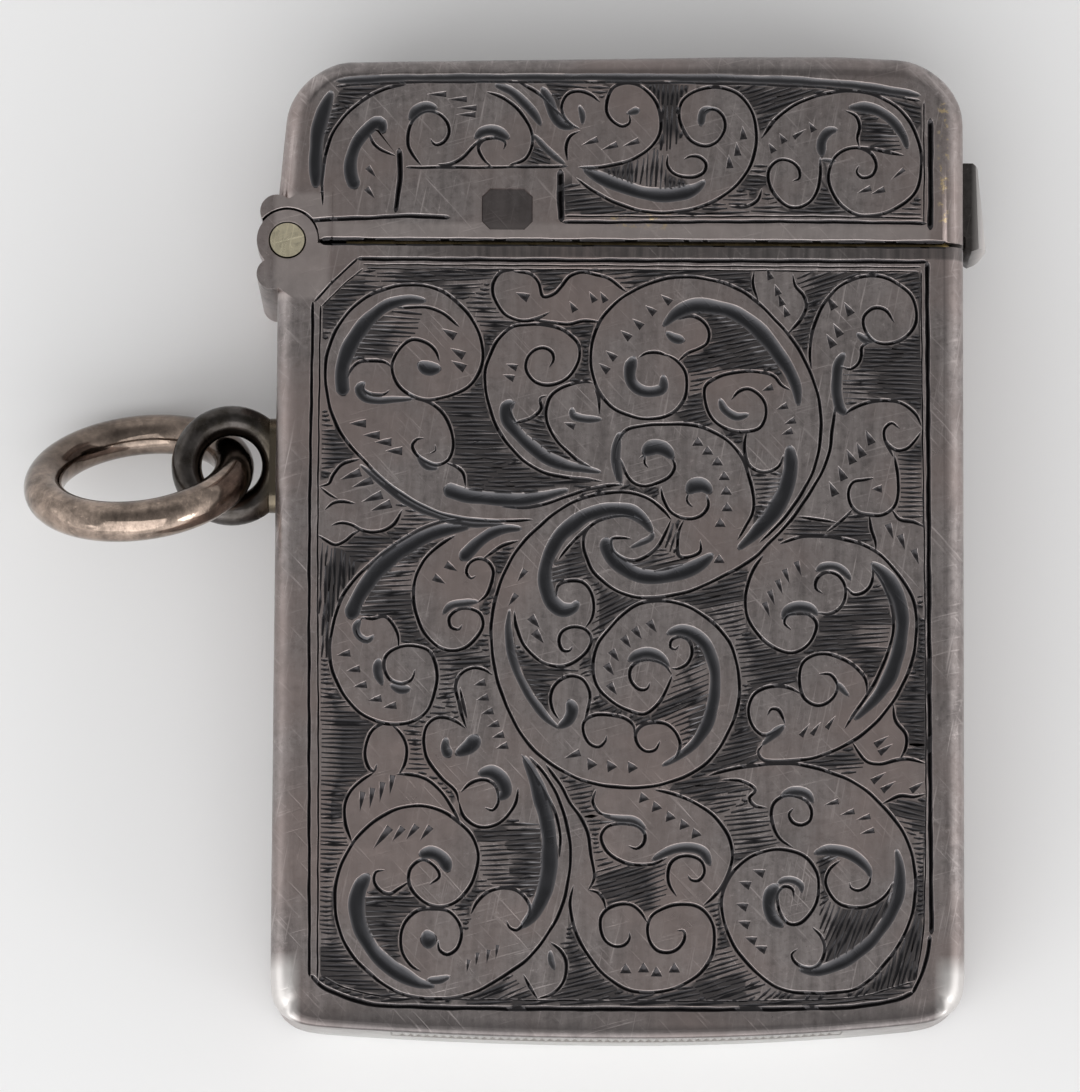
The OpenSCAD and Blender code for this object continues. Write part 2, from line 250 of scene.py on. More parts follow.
def unsteady(path, width):
    """The same cut by a hand that isn't quite steady."""
    run = np.concatenate([[0], np.cumsum(np.linalg.norm(np.diff(path, axis=0), axis=1))])
    way = np.gradient(path, axis=0)
    side = np.stack([-way[:, 1], way[:, 0]], 1) / np.linalg.norm(way, axis=1)[:, None]
    start = chance.uniform(0, 6.3)
    sway = 0.01 * np.sin(1.9 * run + start) + 0.006 * np.sin(4.7 * run + 2 * start)
    press = 1 + 0.07 * np.sin(1.5 * run + 3 * start) + 0.03 * np.sin(3.9 * run + start)
    return path + side * sway[:, None], width * press


def stroke(tool, points, width, rise, fall):
    """A cut with one tool along a smooth curve through the points."""
    drawn = smooth_path(points)
    path, widths = unsteady(drawn, swell(drawn, width, rise, fall))
    return {"tool": tool, "path": path, "width": widths, "drawn": drawn}


def nick(x, y, angle, length, width):
    """A wedge whose blunt end is at x, y. The angle is the way from its point to that end."""
    way = np.array([math.cos(math.radians(angle)), math.sin(math.radians(angle))])
    blunt = np.array([x, y])
    path = np.array([blunt - way * length, blunt - way * length * 0.45, blunt])
    return {"tool": "nick", "path": path, "width": np.array([0.08, 0.7, 1.0]) * width}


tools = {name: make_tool(name, outline) for name, outline in TOOL_OUTLINES.items()}
print("gravers:", list(tools))

# %% [markdown]
# The body's panel. Each entry is one cut, named for where it lies, with the case upright and its
# hinge at the upper left. The long lines are the edges of the stems, which run from one scroll into
# the next and end in a curl.

# %% Body: edges of the stems and leaves
BODY_LINES = {
    "upper left scroll": [
        (-4.4, 0.95), (-6, 0.9), (-7.5, 0.95), (-9, 1.25), (-10.4, 1.85), (-11.8, 2.8), (-13, 3.95),
        (-14, 5.1), (-14.7, 6.5), (-14.97, 8), (-14.95, 9.2), (-14.6, 10.4), (-13.9, 11.5), (-12.9, 12.4),
        (-11.6, 12.9), (-10.3, 13), (-9.2, 12.75), (-8.1, 11.9), (-7.35, 10.9), (-7, 9.7), (-7.15, 8.6),
        (-7.8, 7.7), (-8.9, 7.25), (-9.9, 7.1), (-10.8, 7.4), (-11.4, 8), (-11.6, 8.8), (-11.3, 9.6),
        (-10.6, 10.2), (-9.9, 10.05), (-9.4, 9.6), (-9.2, 9.05)],
    "upper left vein": [(-11.4, 11.8), (-10.6, 11.85), (-9.8, 11.85), (-9.1, 11.6), (-8.2, 10.85)],
    "upper left lobe": [(-13.9, 8.1), (-13.7, 8.6), (-13.3, 9), (-12.6, 9.1), (-11.95, 9), (-11.6, 8.75)],
    "lobe hook": [(-11.7, 7.6), (-12, 7.35), (-12.7, 7.38), (-13.05, 7.65), (-12.95, 7.95)],
    "lower leaf and curl": [
        (-10.5, 7.15), (-9.7, 6.95), (-9.1, 6.5), (-8.7, 5.9), (-8.5, 5.2), (-8.5, 4.5), (-8.75, 4),
        (-9.3, 3.75), (-9.9, 3.95), (-10.4, 4.35), (-10.55, 4.75), (-10.3, 5.05), (-9.95, 5.1)],
    "lower leaf eye": [(-9.4, 4.8), (-9.35, 4.5), (-9.65, 4.3)],
    "lower leaf tip": [(-8.8, 3.85), (-8.3, 3.65), (-7.95, 3.35), (-7.8, 2.6)],
    "stem below": [
        (-6, 1.62), (-4.6, 1.6), (-3.6, 1.85), (-2.6, 2.2), (-1.5, 2.55), (-0.5, 2.75), (0.2, 2.8)],
    "side leaf top": [(-13.2, 4.05), (-14.1, 3.75), (-14.55, 3.2), (-14.75, 2.75), (-15.25, 2.6)],
    "side leaf fold": [(-15.2, 2.6), (-14.75, 2.2), (-14.3, 1.95)],
    "side leaf vein": [(-14.95, 1.4), (-14.55, 1.75), (-14.1, 1.85), (-13.4, 1.75)],
    "side leaf edge": [
        (-14.6, 0.6), (-14.1, 0.75), (-13.6, 0.65), (-13.1, 0.4), (-12.5, 0.3), (-11.9, 0.4),
        (-11.4, 0.75), (-11, 1.45)],
    "side leaf foot": [
        (-15.3, 0.1), (-14.9, -0.15), (-14.4, -0.38), (-13.95, -0.2), (-13.5, 0.2), (-13.1, 0.4)],
    "top leaf left": [
        (-5.4, 13.8), (-6.1, 13.7), (-6.45, 13.2), (-6.5, 12.6), (-6.25, 12), (-5.8, 11.45), (-5, 11.2),
        (-4.3, 11.3), (-3.6, 11.65)],
    "top leaf crest": [
        (-5.5, 13.75), (-4.6, 13.6), (-4.2, 13.2), (-3.95, 12.45), (-3.4, 12.6), (-3, 13), (-2.6, 13.5),
        (-2, 13.7), (-1.3, 13.6), (-0.6, 13.4), (0.3, 12.7)],
    "top leaf foot": [(-4.5, 11.25), (-3.4, 11.1), (-2.6, 11.05), (-1.9, 11.2), (-1, 11.15)],
    "middle leaf": [
        (-0.9, 2.95), (-2, 3.07), (-3, 3.2), (-4, 3.45), (-4.9, 4), (-5.6, 4.75), (-6.2, 5.6),
        (-6.6, 6.6), (-6.85, 7.8), (-6.85, 8.7), (-6.6, 9.5), (-6.2, 10.25), (-5.5, 10.85), (-4.7, 11),
        (-3.9, 11), (-3.2, 10.85), (-2.6, 10.5), (-2.15, 10), (-2.1, 9.2), (-2.5, 8.45), (-3, 8.05),
        (-3.8, 7.9), (-4.4, 8.1), (-4.8, 8.7), (-4.75, 9.25), (-4.4, 9.65), (-3.9, 9.8), (-3.5, 9.6),
        (-3.4, 9.2), (-3.6, 8.8)],
    "middle leaf lobe": [(-3.7, 7.35), (-4.05, 7.2), (-4, 6.7), (-4.5, 6.2), (-5.1, 6), (-5.6, 5.9)],
    "middle leaf hook": [(-5.3, 7), (-5.6, 6.75), (-5.5, 6.3), (-5.2, 5.9)],
    "inner leaf": [
        (-1.35, 8), (-1.8, 8.05), (-2.4, 7.95), (-3, 7.75), (-3.55, 7.3), (-3.75, 6.7), (-3.72, 6.1),
        (-3.5, 5.5), (-3.1, 4.9), (-2.6, 4.4), (-2.1, 4), (-1.5, 3.7)],
    "inner leaf right": [(-1.3, 7.7), (-1.1, 7.2), (-1.05, 6.4)],
    "upper right scroll": [(2.5, 9.4), (1.9, 9.6), (1.3, 9.55), (0.9, 9.3)],
    "upper right ring": [
        (7.1, -0.15), (8, 0.75), (8.7, 1.6), (9.3, 2.5), (9.75, 3.4), (10.05, 4.4), (10.2, 5.4),
        (10.2, 6.4), (10.05, 7.4), (9.75, 8.4), (9.3, 9.4), (8.7, 10.35), (7.9, 11.3), (7.1, 12.1),
        (6.3, 12.7), (5.4, 13.15), (4.4, 13.4), (3.3, 13.5), (2.2, 13.4), (1.2, 13.05), (0.3, 12.55),
        (-0.5, 11.9), (-1.1, 11.1), (-1.4, 10.2), (-1.5, 9.3), (-1.4, 8.4), (-1.1, 7.6), (-0.5, 6.85),
        (0.3, 6.4), (1.2, 6.17), (2.1, 6.25), (2.8, 6.6), (3.25, 7.2), (3.4, 7.9), (3.3, 8.6),
        (2.9, 9.15), (2.3, 9.5)],
    "stem tip lobe": [
        (2.9, 11.3), (3.6, 11.5), (4.2, 11.2), (4.5, 10.7), (4.4, 10.1), (4, 9.8), (3.4, 9.55),
        (2.95, 9.15)],
    "ring lobe": [
        (8.65, 7.7), (8.2, 7.95), (7.8, 8.4), (7.2, 8.6), (6.4, 8.65), (5.6, 8.55), (4.9, 8.3),
        (4.35, 7.9), (4.3, 7.2), (4.5, 6.5), (4.95, 5.95), (5.7, 5.6), (6.5, 5.55), (7.1, 5.75),
        (7.4, 6.3), (7.35, 7), (7, 7.5), (6.5, 7.75), (6, 7.6), (5.65, 7.2)],
    "ring lower lobe": [
        (6.45, 5.6), (6.33, 5), (6.35, 4.5), (6.55, 3.85), (7, 3.52), (7.6, 3.5), (8.1, 3.8), (8.3, 4.4)],
    "curled leaf edge": [
        (-0.15, 2.95), (-0.25, 4.2), (-0.1, 5), (0.35, 5.6), (1.3, 5.85), (2.6, 5.9), (3.8, 5.85),
        (4.9, 5.45), (5.7, 4.85), (6.25, 4.1), (6.6, 3.1), (6.8, 2), (6.7, 1.3), (6.4, 0.7), (6, 0)],
    "curled leaf first": [
        (0.05, 4.1), (0.3, 3.4), (0.7, 2.9), (1.2, 2.72), (1.9, 2.88), (2.5, 3.2), (2.78, 3.75),
        (2.6, 4.25)],
    "first curl eye": [(1, 4.15), (1.25, 4.3), (1.25, 3.9), (1.45, 3.65)],
    "curled leaf second": [
        (2.1, 2.7), (2.2, 2.1), (2.5, 1.5), (3, 1.15), (3.6, 1.06), (4.2, 1.3), (4.5, 1.75), (4.4, 2.3)],
    "second curl eye": [(3.5, 2.4), (3.42, 2), (3.7, 1.65)],
    "curled leaf foot": [
        (3.25, 1), (3, 0.4), (2.95, -0.3), (3.05, -0.85), (3.6, -0.88), (4.1, -0.6), (4.1, 0)],
    "right top leaf": [(8.75, 13.7), (8.9, 13.1), (9.3, 12.6), (9.45, 12), (9.2, 11.4), (8.5, 10.55)],
    "right top leaf back": [(6.8, 13.85), (6.75, 13.2), (7, 12.3)],
    "right curl": [
        (9.7, 8.8), (9.65, 9.6), (9.75, 10.6), (10.1, 11.7), (10.6, 12.5), (11.3, 13.15), (12.2, 13.55),
        (13.2, 13.6), (14.1, 13.2), (14.8, 12.6), (15.07, 11.8), (14.95, 11), (14.4, 10.4), (13.6, 10.1),
        (12.9, 10.25), (12.45, 10.8), (12.4, 11.5), (12.9, 11.95), (13.5, 11.85), (13.95, 11.2)],
    "right curl foot": [
        (12.75, 10.2), (12.3, 9.95), (12.25, 9.5), (12.1, 9.1), (11.7, 8.8), (11.2, 8.95)],
    "long right stem": [
        (10.95, 7), (10.8, 5.8), (10.65, 4.6), (10.25, 3.5), (9.7, 2.5), (9.1, 1.6), (8.4, 0.7),
        (7.6, -0.15), (6.9, -0.85), (6, -1.45), (5, -2), (3.8, -2.55), (2.7, -2.85), (1.7, -3),
        (0.8, -2.95), (0, -2.7), (-0.8, -2.2), (-1.35, -1.65), (-1.65, -1), (-1.82, -0.3), (-1.75, 0.3),
        (-1.3, 0.8)],
    "right side leaf": [
        (11.3, 6.4), (12, 6.85), (12.8, 7.12), (13.6, 7.2), (14.4, 7), (15, 6.5), (15.3, 5.9)],
    "right side curl": [(13.9, 4.3), (13.45, 5.2), (13.45, 5.75), (13.8, 6.05), (14.2, 5.75)],
    "right side cup": [(13.35, 5.4), (13.6, 4.95), (14.05, 4.65), (14.6, 4.75), (15, 5.15), (15.3, 5.6)],
    "right side square": [
        (13.95, 4.4), (14.1, 3.3), (14.1, 2.3), (13.9, 1.7), (13.4, 1.33), (12.7, 1.3), (12.1, 1.45),
        (11.7, 1.9), (11.6, 2.5), (11.85, 3), (12.4, 3.12), (12.9, 3.2)],
    "right side foot": [(11.8, 1.6), (11.4, 1.15), (11, 0.8), (10.5, 0.4)],
    "right side bank": [(9, 1.2), (10.1, 1.06), (11, 0.9)],
    "small right leaf": [(12.65, 1.3), (12.75, 0.6), (12.95, 0), (13, -0.5)],
    "small right leaf top": [(13.8, 1.6), (14.2, 1.1), (14.9, 0.95), (15.5, 0.7)],
    "great scroll": [
        (2.6, 1), (2.2, 1.5), (1.6, 2), (0.8, 2.33), (0, 2.4), (-1, 2.3), (-2, 2.05), (-3, 1.5),
        (-4, 0.7), (-4.9, -0.2), (-5.6, -1.3), (-6.15, -2.6), (-6.45, -4.2), (-6.45, -5.5), (-6.25, -6.8),
        (-5.85, -8.1), (-5.3, -9.35), (-4.6, -10.4), (-3.8, -11.2), (-2.9, -11.8), (-1.8, -12.3),
        (-0.5, -12.6), (1, -12.65), (2.5, -12.4), (3.8, -11.85), (4.8, -11), (5.5, -9.9), (5.95, -8.7),
        (6.1, -7.5), (5.97, -6.4), (5.65, -5.4), (5.1, -4.6), (4.3, -3.9), (3.3, -3.37), (2.4, -3.17),
        (1.6, -3.15), (0.8, -3.4), (0.1, -3.95), (-0.6, -4.7), (-1.1, -5.4), (-1.3, -6.3), (-1.25, -7.1),
        (-0.9, -7.8), (-0.2, -8.4), (0.6, -8.78), (1.3, -8.9), (1.9, -8.5), (2.4, -7.7), (2.7, -6.9)],
    "centre disc": [
        (2.6, 1), (2.35, 0.35), (1.95, -0.35), (1.4, -0.85), (0.7, -1.1), (0.1, -0.95), (-0.35, -0.55),
        (-0.4, 0), (0.1, 0.05), (0.6, 0)],
    "centre disc top": [
        (1.5, 0.75), (0.7, 1.15), (-0.3, 1.17), (-1.2, 0.85), (-1.9, 0.3), (-2.6, -0.4), (-3.1, -1.1)],
    "hooked lobe": [
        (-3.2, -3), (-3.1, -2.4), (-2.6, -2.15), (-1.9, -2.2), (-1.45, -2.7), (-1.3, -3.4), (-1.4, -4.1),
        (-1.7, -4.55)],
    "left inner leaf": [
        (-5.3, -3.7), (-5.2, -4.5), (-4.85, -5.4), (-4.2, -6.1), (-3.5, -6.45), (-2.8, -6.5),
        (-2.1, -6.2), (-1.6, -5.7), (-1.4, -5.1), (-1.7, -4.65), (-2.4, -4.5), (-2.9, -4.75),
        (-3.05, -5.25), (-2.85, -5.7), (-2.5, -5.7), (-2.35, -5.45)],
    "heart lobe": [
        (-3, -9.25), (-3.35, -8.75), (-3.45, -8.1), (-3.25, -7.5), (-2.85, -7.15), (-2.35, -7),
        (-1.85, -7.15), (-1.55, -7.6), (-1.45, -8.1), (-1.6, -8.8), (-1.75, -9.4)],
    "left low curl": [
        (0.78, -10), (0.75, -9.55), (0.3, -9.15), (-0.5, -8.97), (-1.3, -9), (-1.75, -9.35),
        (-1.75, -9.95), (-1.45, -10.45), (-1, -10.6), (-0.65, -10.3), (-0.6, -10)],
    "right low curl": [
        (2.5, -11.45), (2.95, -11), (3.08, -10.4), (2.85, -9.8), (2.4, -9.42), (1.8, -9.33), (1.2, -9.5),
        (0.85, -9.95), (1, -10.5), (1.4, -10.82), (1.85, -10.75), (2.1, -10.25)],
    "disc curl": [
        (2.65, -6.9), (2.3, -6.4), (1.7, -6.17), (1, -6.22), (0.6, -6.6), (0.6, -7.2), (1, -7.65),
        (1.4, -7.65), (1.6, -7.3)],
    "disc side curl": [
        (2.6, -6.55), (2.9, -6.62), (3.4, -6.4), (3.7, -5.8), (3.55, -5.2), (3.1, -4.98), (2.65, -5.15),
        (2.6, -5.5), (2.85, -5.62), (3.05, -5.4)],
    "left scroll": [
        (-7.6, 1), (-9, 0.85), (-10, 0.5), (-11, -0.1), (-12, -0.8), (-12.8, -1.5), (-13.5, -2.25),
        (-14.05, -3.1), (-14.4, -4.1), (-14.6, -5.2), (-14.6, -6.3), (-14.35, -7.2), (-13.85, -8.1),
        (-13.1, -8.9), (-12.2, -9.38), (-11.3, -9.52), (-10.5, -9.38), (-9.8, -8.95), (-9.4, -8.2),
        (-9.2, -7.2), (-9.3, -6.4), (-9.65, -5.75), (-10.4, -5.5), (-11.2, -5.6), (-11.75, -6),
        (-11.88, -6.6), (-11.6, -7.2), (-11, -7.45), (-10.5, -7.25), (-10.3, -6.7)],
    "left scroll hook": [(-12.4, -4.95), (-12.75, -5.25), (-13.2, -5), (-13.3, -4.5), (-13, -4.12)],
    "left scroll lobe": [
        (-13.1, -4.1), (-12.5, -4.15), (-11.9, -4.02), (-11.5, -4.35), (-11.2, -4.9), (-11.15, -5.6)],
    "left leaf": [
        (-8.3, 0.15), (-9.3, -0.5), (-9.95, -1.2), (-10.3, -2), (-10.42, -3), (-10.25, -4),
        (-9.85, -4.85), (-9.2, -5.5), (-8.5, -5.75), (-7.8, -5.6), (-7.2, -5.05), (-6.9, -4.4),
        (-7.05, -3.85), (-7.6, -3.6), (-8.2, -3.65), (-8.6, -4.05), (-8.5, -4.55), (-8.1, -4.65),
        (-7.95, -4.4)],
    "left leaf curl": [
        (-7.2, -3.3), (-6.75, -2.9), (-6.45, -2.2), (-6.4, -1.6), (-6.7, -1.15), (-7.15, -1.05),
        (-7.6, -1.3), (-7.75, -1.75), (-7.5, -2.05), (-7.25, -1.9)],
    "left leaf stem": [(-5.1, -0.1), (-5.9, -0.35), (-6.5, -0.75), (-6.9, -1.05)],
    "upright leaf": [
        (-6.4, -7), (-6.8, -6.72), (-7.25, -6.6), (-7.7, -6.72), (-8.1, -7.05), (-8.25, -7.5),
        (-8.1, -8.3), (-7.9, -9.1), (-7.7, -9.7)],
    "upright leaf inside": [(-8.05, -7.6), (-7.85, -8.5), (-7.65, -9.2)],
    "heart leaf": [
        (-7.75, -9.7), (-8.1, -9.42), (-8.6, -9.2), (-9.2, -9.18), (-9.65, -9.5), (-9.85, -10.2),
        (-9.75, -11), (-9.4, -11.65), (-8.9, -12.25), (-8.2, -12.95), (-8.05, -13.5)],
    "low curl": [
        (-8.05, -13.4), (-7.8, -14.15), (-7.3, -14.6), (-6.7, -14.72), (-6.1, -14.55), (-5.6, -14.1),
        (-5.2, -13.5), (-5.05, -12.7)],
    "low curl eye": [
        (-7.95, -12.95), (-7.4, -12.45), (-6.8, -12.3), (-6.2, -12.6), (-6.05, -13.4), (-6.35, -13.85),
        (-6.75, -13.7)],
    "round leaf": [
        (-11.4, -9.5), (-11.95, -9.5), (-12.45, -9.85), (-12.75, -10.5), (-12.8, -11.2), (-12.6, -11.75),
        (-12.35, -11.9), (-12.2, -11.5)],
    "round leaf right": [(-11.5, -9.5), (-11, -10), (-10.7, -10.7), (-10.75, -11.4), (-11.1, -12.1)],
    "feather leaf": [
        (-12.35, -11.95), (-13, -12.4), (-13.5, -12.9), (-13.8, -13.7), (-13.75, -14.6), (-13.45, -15.5)],
    "feather leaf right": [
        (-11.2, -12.05), (-10.3, -12.1), (-9.6, -12.35), (-9, -12.85), (-8.3, -13.9), (-8, -14.5)],
    "lower left scroll": [
        (-4.5, -11.1), (-3.6, -12.2), (-2.95, -13.4), (-2.55, -14.8), (-2.4, -16.2), (-2.55, -17.6),
        (-2.95, -19), (-3.6, -20.2), (-4.5, -21.3), (-5.7, -22.2), (-7, -22.95), (-8.4, -23.35),
        (-9.9, -23.35), (-11.3, -22.95), (-12.5, -22.1), (-13.5, -21), (-14.1, -19.7), (-14.25, -18.2),
        (-14.05, -16.9), (-13.4, -15.6), (-12.5, -14.6), (-11.4, -13.9), (-10.2, -13.65), (-9, -13.85),
        (-8, -14.5), (-7.3, -15.3), (-7.05, -16.2), (-7.2, -17.1), (-7.6, -17.9), (-8.2, -18.5),
        (-8.9, -18.75), (-9.7, -18.55), (-10.3, -18), (-10.55, -17.4), (-10.45, -16.8), (-9.85, -16.35),
        (-9.25, -16.7), (-9, -17.2), (-9.5, -17.62)],
    "lower left ball": [
        (-9.9, -22), (-10.4, -21.7), (-10.85, -21), (-10.93, -20.2), (-10.65, -19.45), (-10.1, -18.97),
        (-9.3, -18.85), (-8.55, -18.95), (-8.05, -19.45), (-7.88, -20.1), (-8.1, -20.85), (-8.6, -21.15),
        (-9, -20.9), (-9.05, -20.4)],
    "lower left lobe": [
        (-11.75, -16.9), (-12.2, -17), (-12.3, -17.45), (-12, -17.9), (-11.5, -18.1), (-11.05, -17.85),
        (-10.55, -17.5)],
    "lower left inner leaf": [
        (-7.4, -19.1), (-7.1, -18.5), (-6.6, -18), (-5.9, -17.8), (-5.2, -17.87), (-4.7, -18.25),
        (-4.4, -18.8), (-4.75, -19.6), (-5.1, -19.9), (-5.45, -19.75), (-5.6, -19.4)],
    "long stem line": [
        (-4.9, -11), (-4.3, -11.9), (-3.7, -12.9), (-3.2, -13.9), (-2.95, -15), (-2.95, -16.2)],
    "side blade": [
        (-3.7, -11.5), (-2.9, -12.6), (-2.4, -13.5), (-1.9, -14.2), (-1.55, -15), (-1.35, -16.2),
        (-1.2, -17.2), (-1.5, -17.85)],
    "double curl leaf": [(-1.5, -17.85), (-1, -18), (-0.7, -18.4), (-0.6, -18.85)],
    "double curl left edge": [
        (-2.25, -17.6), (-2.4, -18.5), (-2.3, -19.4), (-2, -20.3), (-1.5, -21.1), (-0.9, -21.9),
        (-0.2, -22.5), (0.6, -22.9), (1.5, -23), (2.5, -22.9), (3.4, -22.55), (4.2, -21.95), (4.7, -21.2),
        (4.87, -20.3), (4.75, -19.5), (4.35, -18.9), (3.8, -18.6), (3, -18.55), (2.3, -18.75),
        (1.75, -19.1), (1.5, -19.7), (1.6, -20.4), (2, -20.9), (2.5, -21), (3, -20.8), (3.35, -20.3),
        (3.3, -19.9), (2.95, -19.9)],
    "double curl right side": [
        (1.47, -19.5), (1.15, -18.95), (0.7, -18.6), (0.1, -18.55), (-0.5, -18.8), (-0.85, -19.25),
        (-0.85, -19.9), (-0.6, -20.45), (-0.15, -20.7), (0.35, -20.6), (0.6, -20.25), (0.55, -19.95)],
    "bottom leaf edge": [(-1.1, -12.75), (-1.3, -13.4), (-0.95, -13.95), (-0.3, -14.1)],
    "bottom leaf curl": [
        (2.5, -16.2), (1.8, -16.5), (1, -16.57), (0.3, -16.45), (-0.3, -16.15), (-0.7, -15.7),
        (-0.87, -15.15), (-0.6, -14.7), (-0.1, -14.5), (0.5, -14.5), (1.05, -14.65), (1.35, -15.05),
        (1.25, -15.5), (0.9, -15.75), (0.5, -15.6)],
    "bottom leaf tail curl": [
        (2.95, -18.15), (2.6, -17.6), (2.5, -17), (2.65, -16.45), (3.1, -16.15), (3.7, -16.12),
        (4.2, -16.4), (4.35, -16.95), (4.05, -17.35), (3.65, -17.3), (3.5, -17.05)],
    "bottom leaf back": [
        (1.8, -12.75), (2.9, -13), (3.8, -13.4), (4.6, -13.9), (5.2, -14.5), (5.6, -15.2), (5.75, -16),
        (5.6, -16.8), (5.3, -17.5), (4.85, -18.15), (4.3, -18.6)],
    "corner leaf": [
        (-3.4, -20.5), (-2.9, -20.9), (-2.6, -21.4), (-2.6, -22), (-2.8, -22.6), (-3.3, -23.1),
        (-4, -23.35)],
    "corner leaf left": [(-4.75, -22.1), (-4.4, -22.8), (-4.0, -23.4)],
    "lower right scroll": [
        (4.5, -12.05), (5.5, -11.75), (6.5, -11.55), (7.6, -11.42), (8.8, -11.42), (9.8, -11.57),
        (10.8, -11.87), (11.8, -12.3), (12.7, -12.9), (13.5, -13.7), (14.2, -14.6), (14.7, -15.6),
        (14.95, -16.8), (14.95, -18), (14.75, -19.2), (14.2, -20.4), (13.5, -21.4), (12.8, -22.2),
        (12, -22.75), (10.8, -22.97), (9.5, -23), (8.4, -22.85), (7.5, -22.4), (6.6, -21.6), (5.9, -20.7),
        (5.4, -19.6), (5.2, -18.6), (5.35, -17.7), (5.8, -16.9), (6.4, -16.3), (7.2, -15.9),
        (8.1, -15.75), (9, -15.9), (9.6, -16.25), (10, -16.9), (10.1, -17.7), (9.95, -18.5), (9.6, -19.1),
        (9.1, -19.5), (8.6, -19.5), (8.25, -19.1), (8.05, -18.5), (8.05, -17.95), (8.4, -17.6),
        (8.8, -17.75), (8.85, -18.2)],
    "lower right curl": [
        (11.2, -16.25), (10.65, -16.75), (10.45, -17.35), (10.7, -18), (11.1, -18.45), (11.7, -18.65),
        (12.4, -18.65), (13, -18.4), (13.5, -18), (13.85, -17.35)],
    "lower right curl eye": [
        (12.75, -16.9), (12.6, -17.5), (12.1, -17.8), (11.7, -17.65), (11.65, -17.4)],
    "lower right hook": [
        (9.75, -19.65), (10.2, -20.1), (10.42, -20.7), (10.3, -21.3), (9.9, -21.68), (9.4, -21.7),
        (8.95, -21.45), (8.75, -21.05), (9.05, -20.75)],
    "top right ball": [
        (8.8, -15.65), (8.2, -15.25), (7.85, -14.7), (7.7, -14), (7.85, -13.4), (8.3, -13.07),
        (8.9, -13.05), (9.5, -13.3), (9.75, -13.8), (9.65, -14.3), (9.25, -14.5), (8.8, -14.35),
        (8.6, -13.95), (8.85, -13.65)],
    "fish tail": [
        (5.2, -12.25), (6.2, -12.28), (6.9, -12.75), (6.6, -13.15), (6.85, -13.55), (7.5, -13.65)],
    "right scroll": [
        (7.3, -10.4), (7.05, -10.8), (7.3, -11.2), (8.8, -11.25), (9.8, -11.1), (10.8, -10.75),
        (11.8, -10.25), (12.7, -9.55), (13.45, -8.75), (14, -8), (14.45, -7.1), (14.8, -6.2), (15, -5.2),
        (15.05, -4.2), (14.95, -3.3), (14.65, -2.5), (14.15, -1.75), (13.5, -1), (12.8, -0.45),
        (12, -0.1), (11, 0.13), (10, 0.2), (9, 0.12), (8.1, -0.2)],
    "right ring inside": [
        (12.75, -1.3), (13.3, -2.1), (13.7, -3), (13.88, -4), (13.8, -5), (13.5, -6), (13.1, -6.9),
        (12.6, -7.8), (12, -8.7), (11.4, -9.6)],
    "right left lobe": [
        (7.3, -0.75), (6.9, -1.3), (6.55, -2.1), (6.4, -3), (6.45, -3.8), (6.8, -4.55), (7.4, -5.2),
        (8.1, -5.62), (8.8, -5.75), (9.4, -5.5), (9.85, -4.9), (9.98, -4.25), (9.6, -3.82), (9, -3.75),
        (8.5, -3.85), (8.35, -4.25), (8.7, -4.6)],
    "right top curl": [
        (10, -3.7), (10.6, -3.77), (11.1, -3.5), (11.42, -3), (11.42, -2.3), (11.05, -1.75),
        (10.45, -1.65), (10, -2), (9.95, -2.45), (10.3, -2.72)],
    "right small lobe": [
        (11.5, -2.4), (11.85, -2.75), (12.3, -2.68), (12.7, -2.3), (12.85, -1.8), (12.8, -1.3)],
    "right side low curl": [
        (12.55, -7.9), (12.45, -7.1), (11.95, -6.45), (11.3, -6.05), (10.6, -5.82), (9.9, -5.87),
        (9.35, -6.2), (9.13, -6.8), (9.15, -7.5), (9.4, -8.1), (9.9, -8.4), (10.4, -8.35), (10.9, -7.95),
        (11.05, -7.4), (10.7, -6.85), (10.1, -6.85)],
    "right low leaf": [
        (9.2, -7.85), (8.7, -7.57), (8.1, -7.45), (7.4, -7.55), (6.85, -7.9), (6.57, -8.5), (6.6, -9.1),
        (6.85, -9.65), (7.3, -9.95), (7.8, -9.8), (8.35, -9.4)],
    "right low leaf eye": [(7.5, -8.95), (7.7, -8.62), (8.05, -8.65), (8.25, -9), (8.4, -9.4)],
    "small low leaf": [
        (11.8, -10.3), (12.2, -10.9), (12.6, -11.3), (13.2, -11.4), (14, -11.2), (14.7, -11.13),
        (15.5, -11.35)],
    "small low leaf back": [(13.85, -8.3), (14, -9.2), (14.5, -9.9), (14.5, -10.5), (14.2, -11.15)],
    "small low leaf foot": [(13.3, -13.4), (14.2, -13), (14.9, -13.05), (15.5, -12.9)],
}
print(len(BODY_LINES), "edges on the body")

# %% [markdown]
# The frame round the panel is a broad groove with one or two fine lines inside it. It clears the
# hinge with a slanted corner, and follows the round corners at the foot.

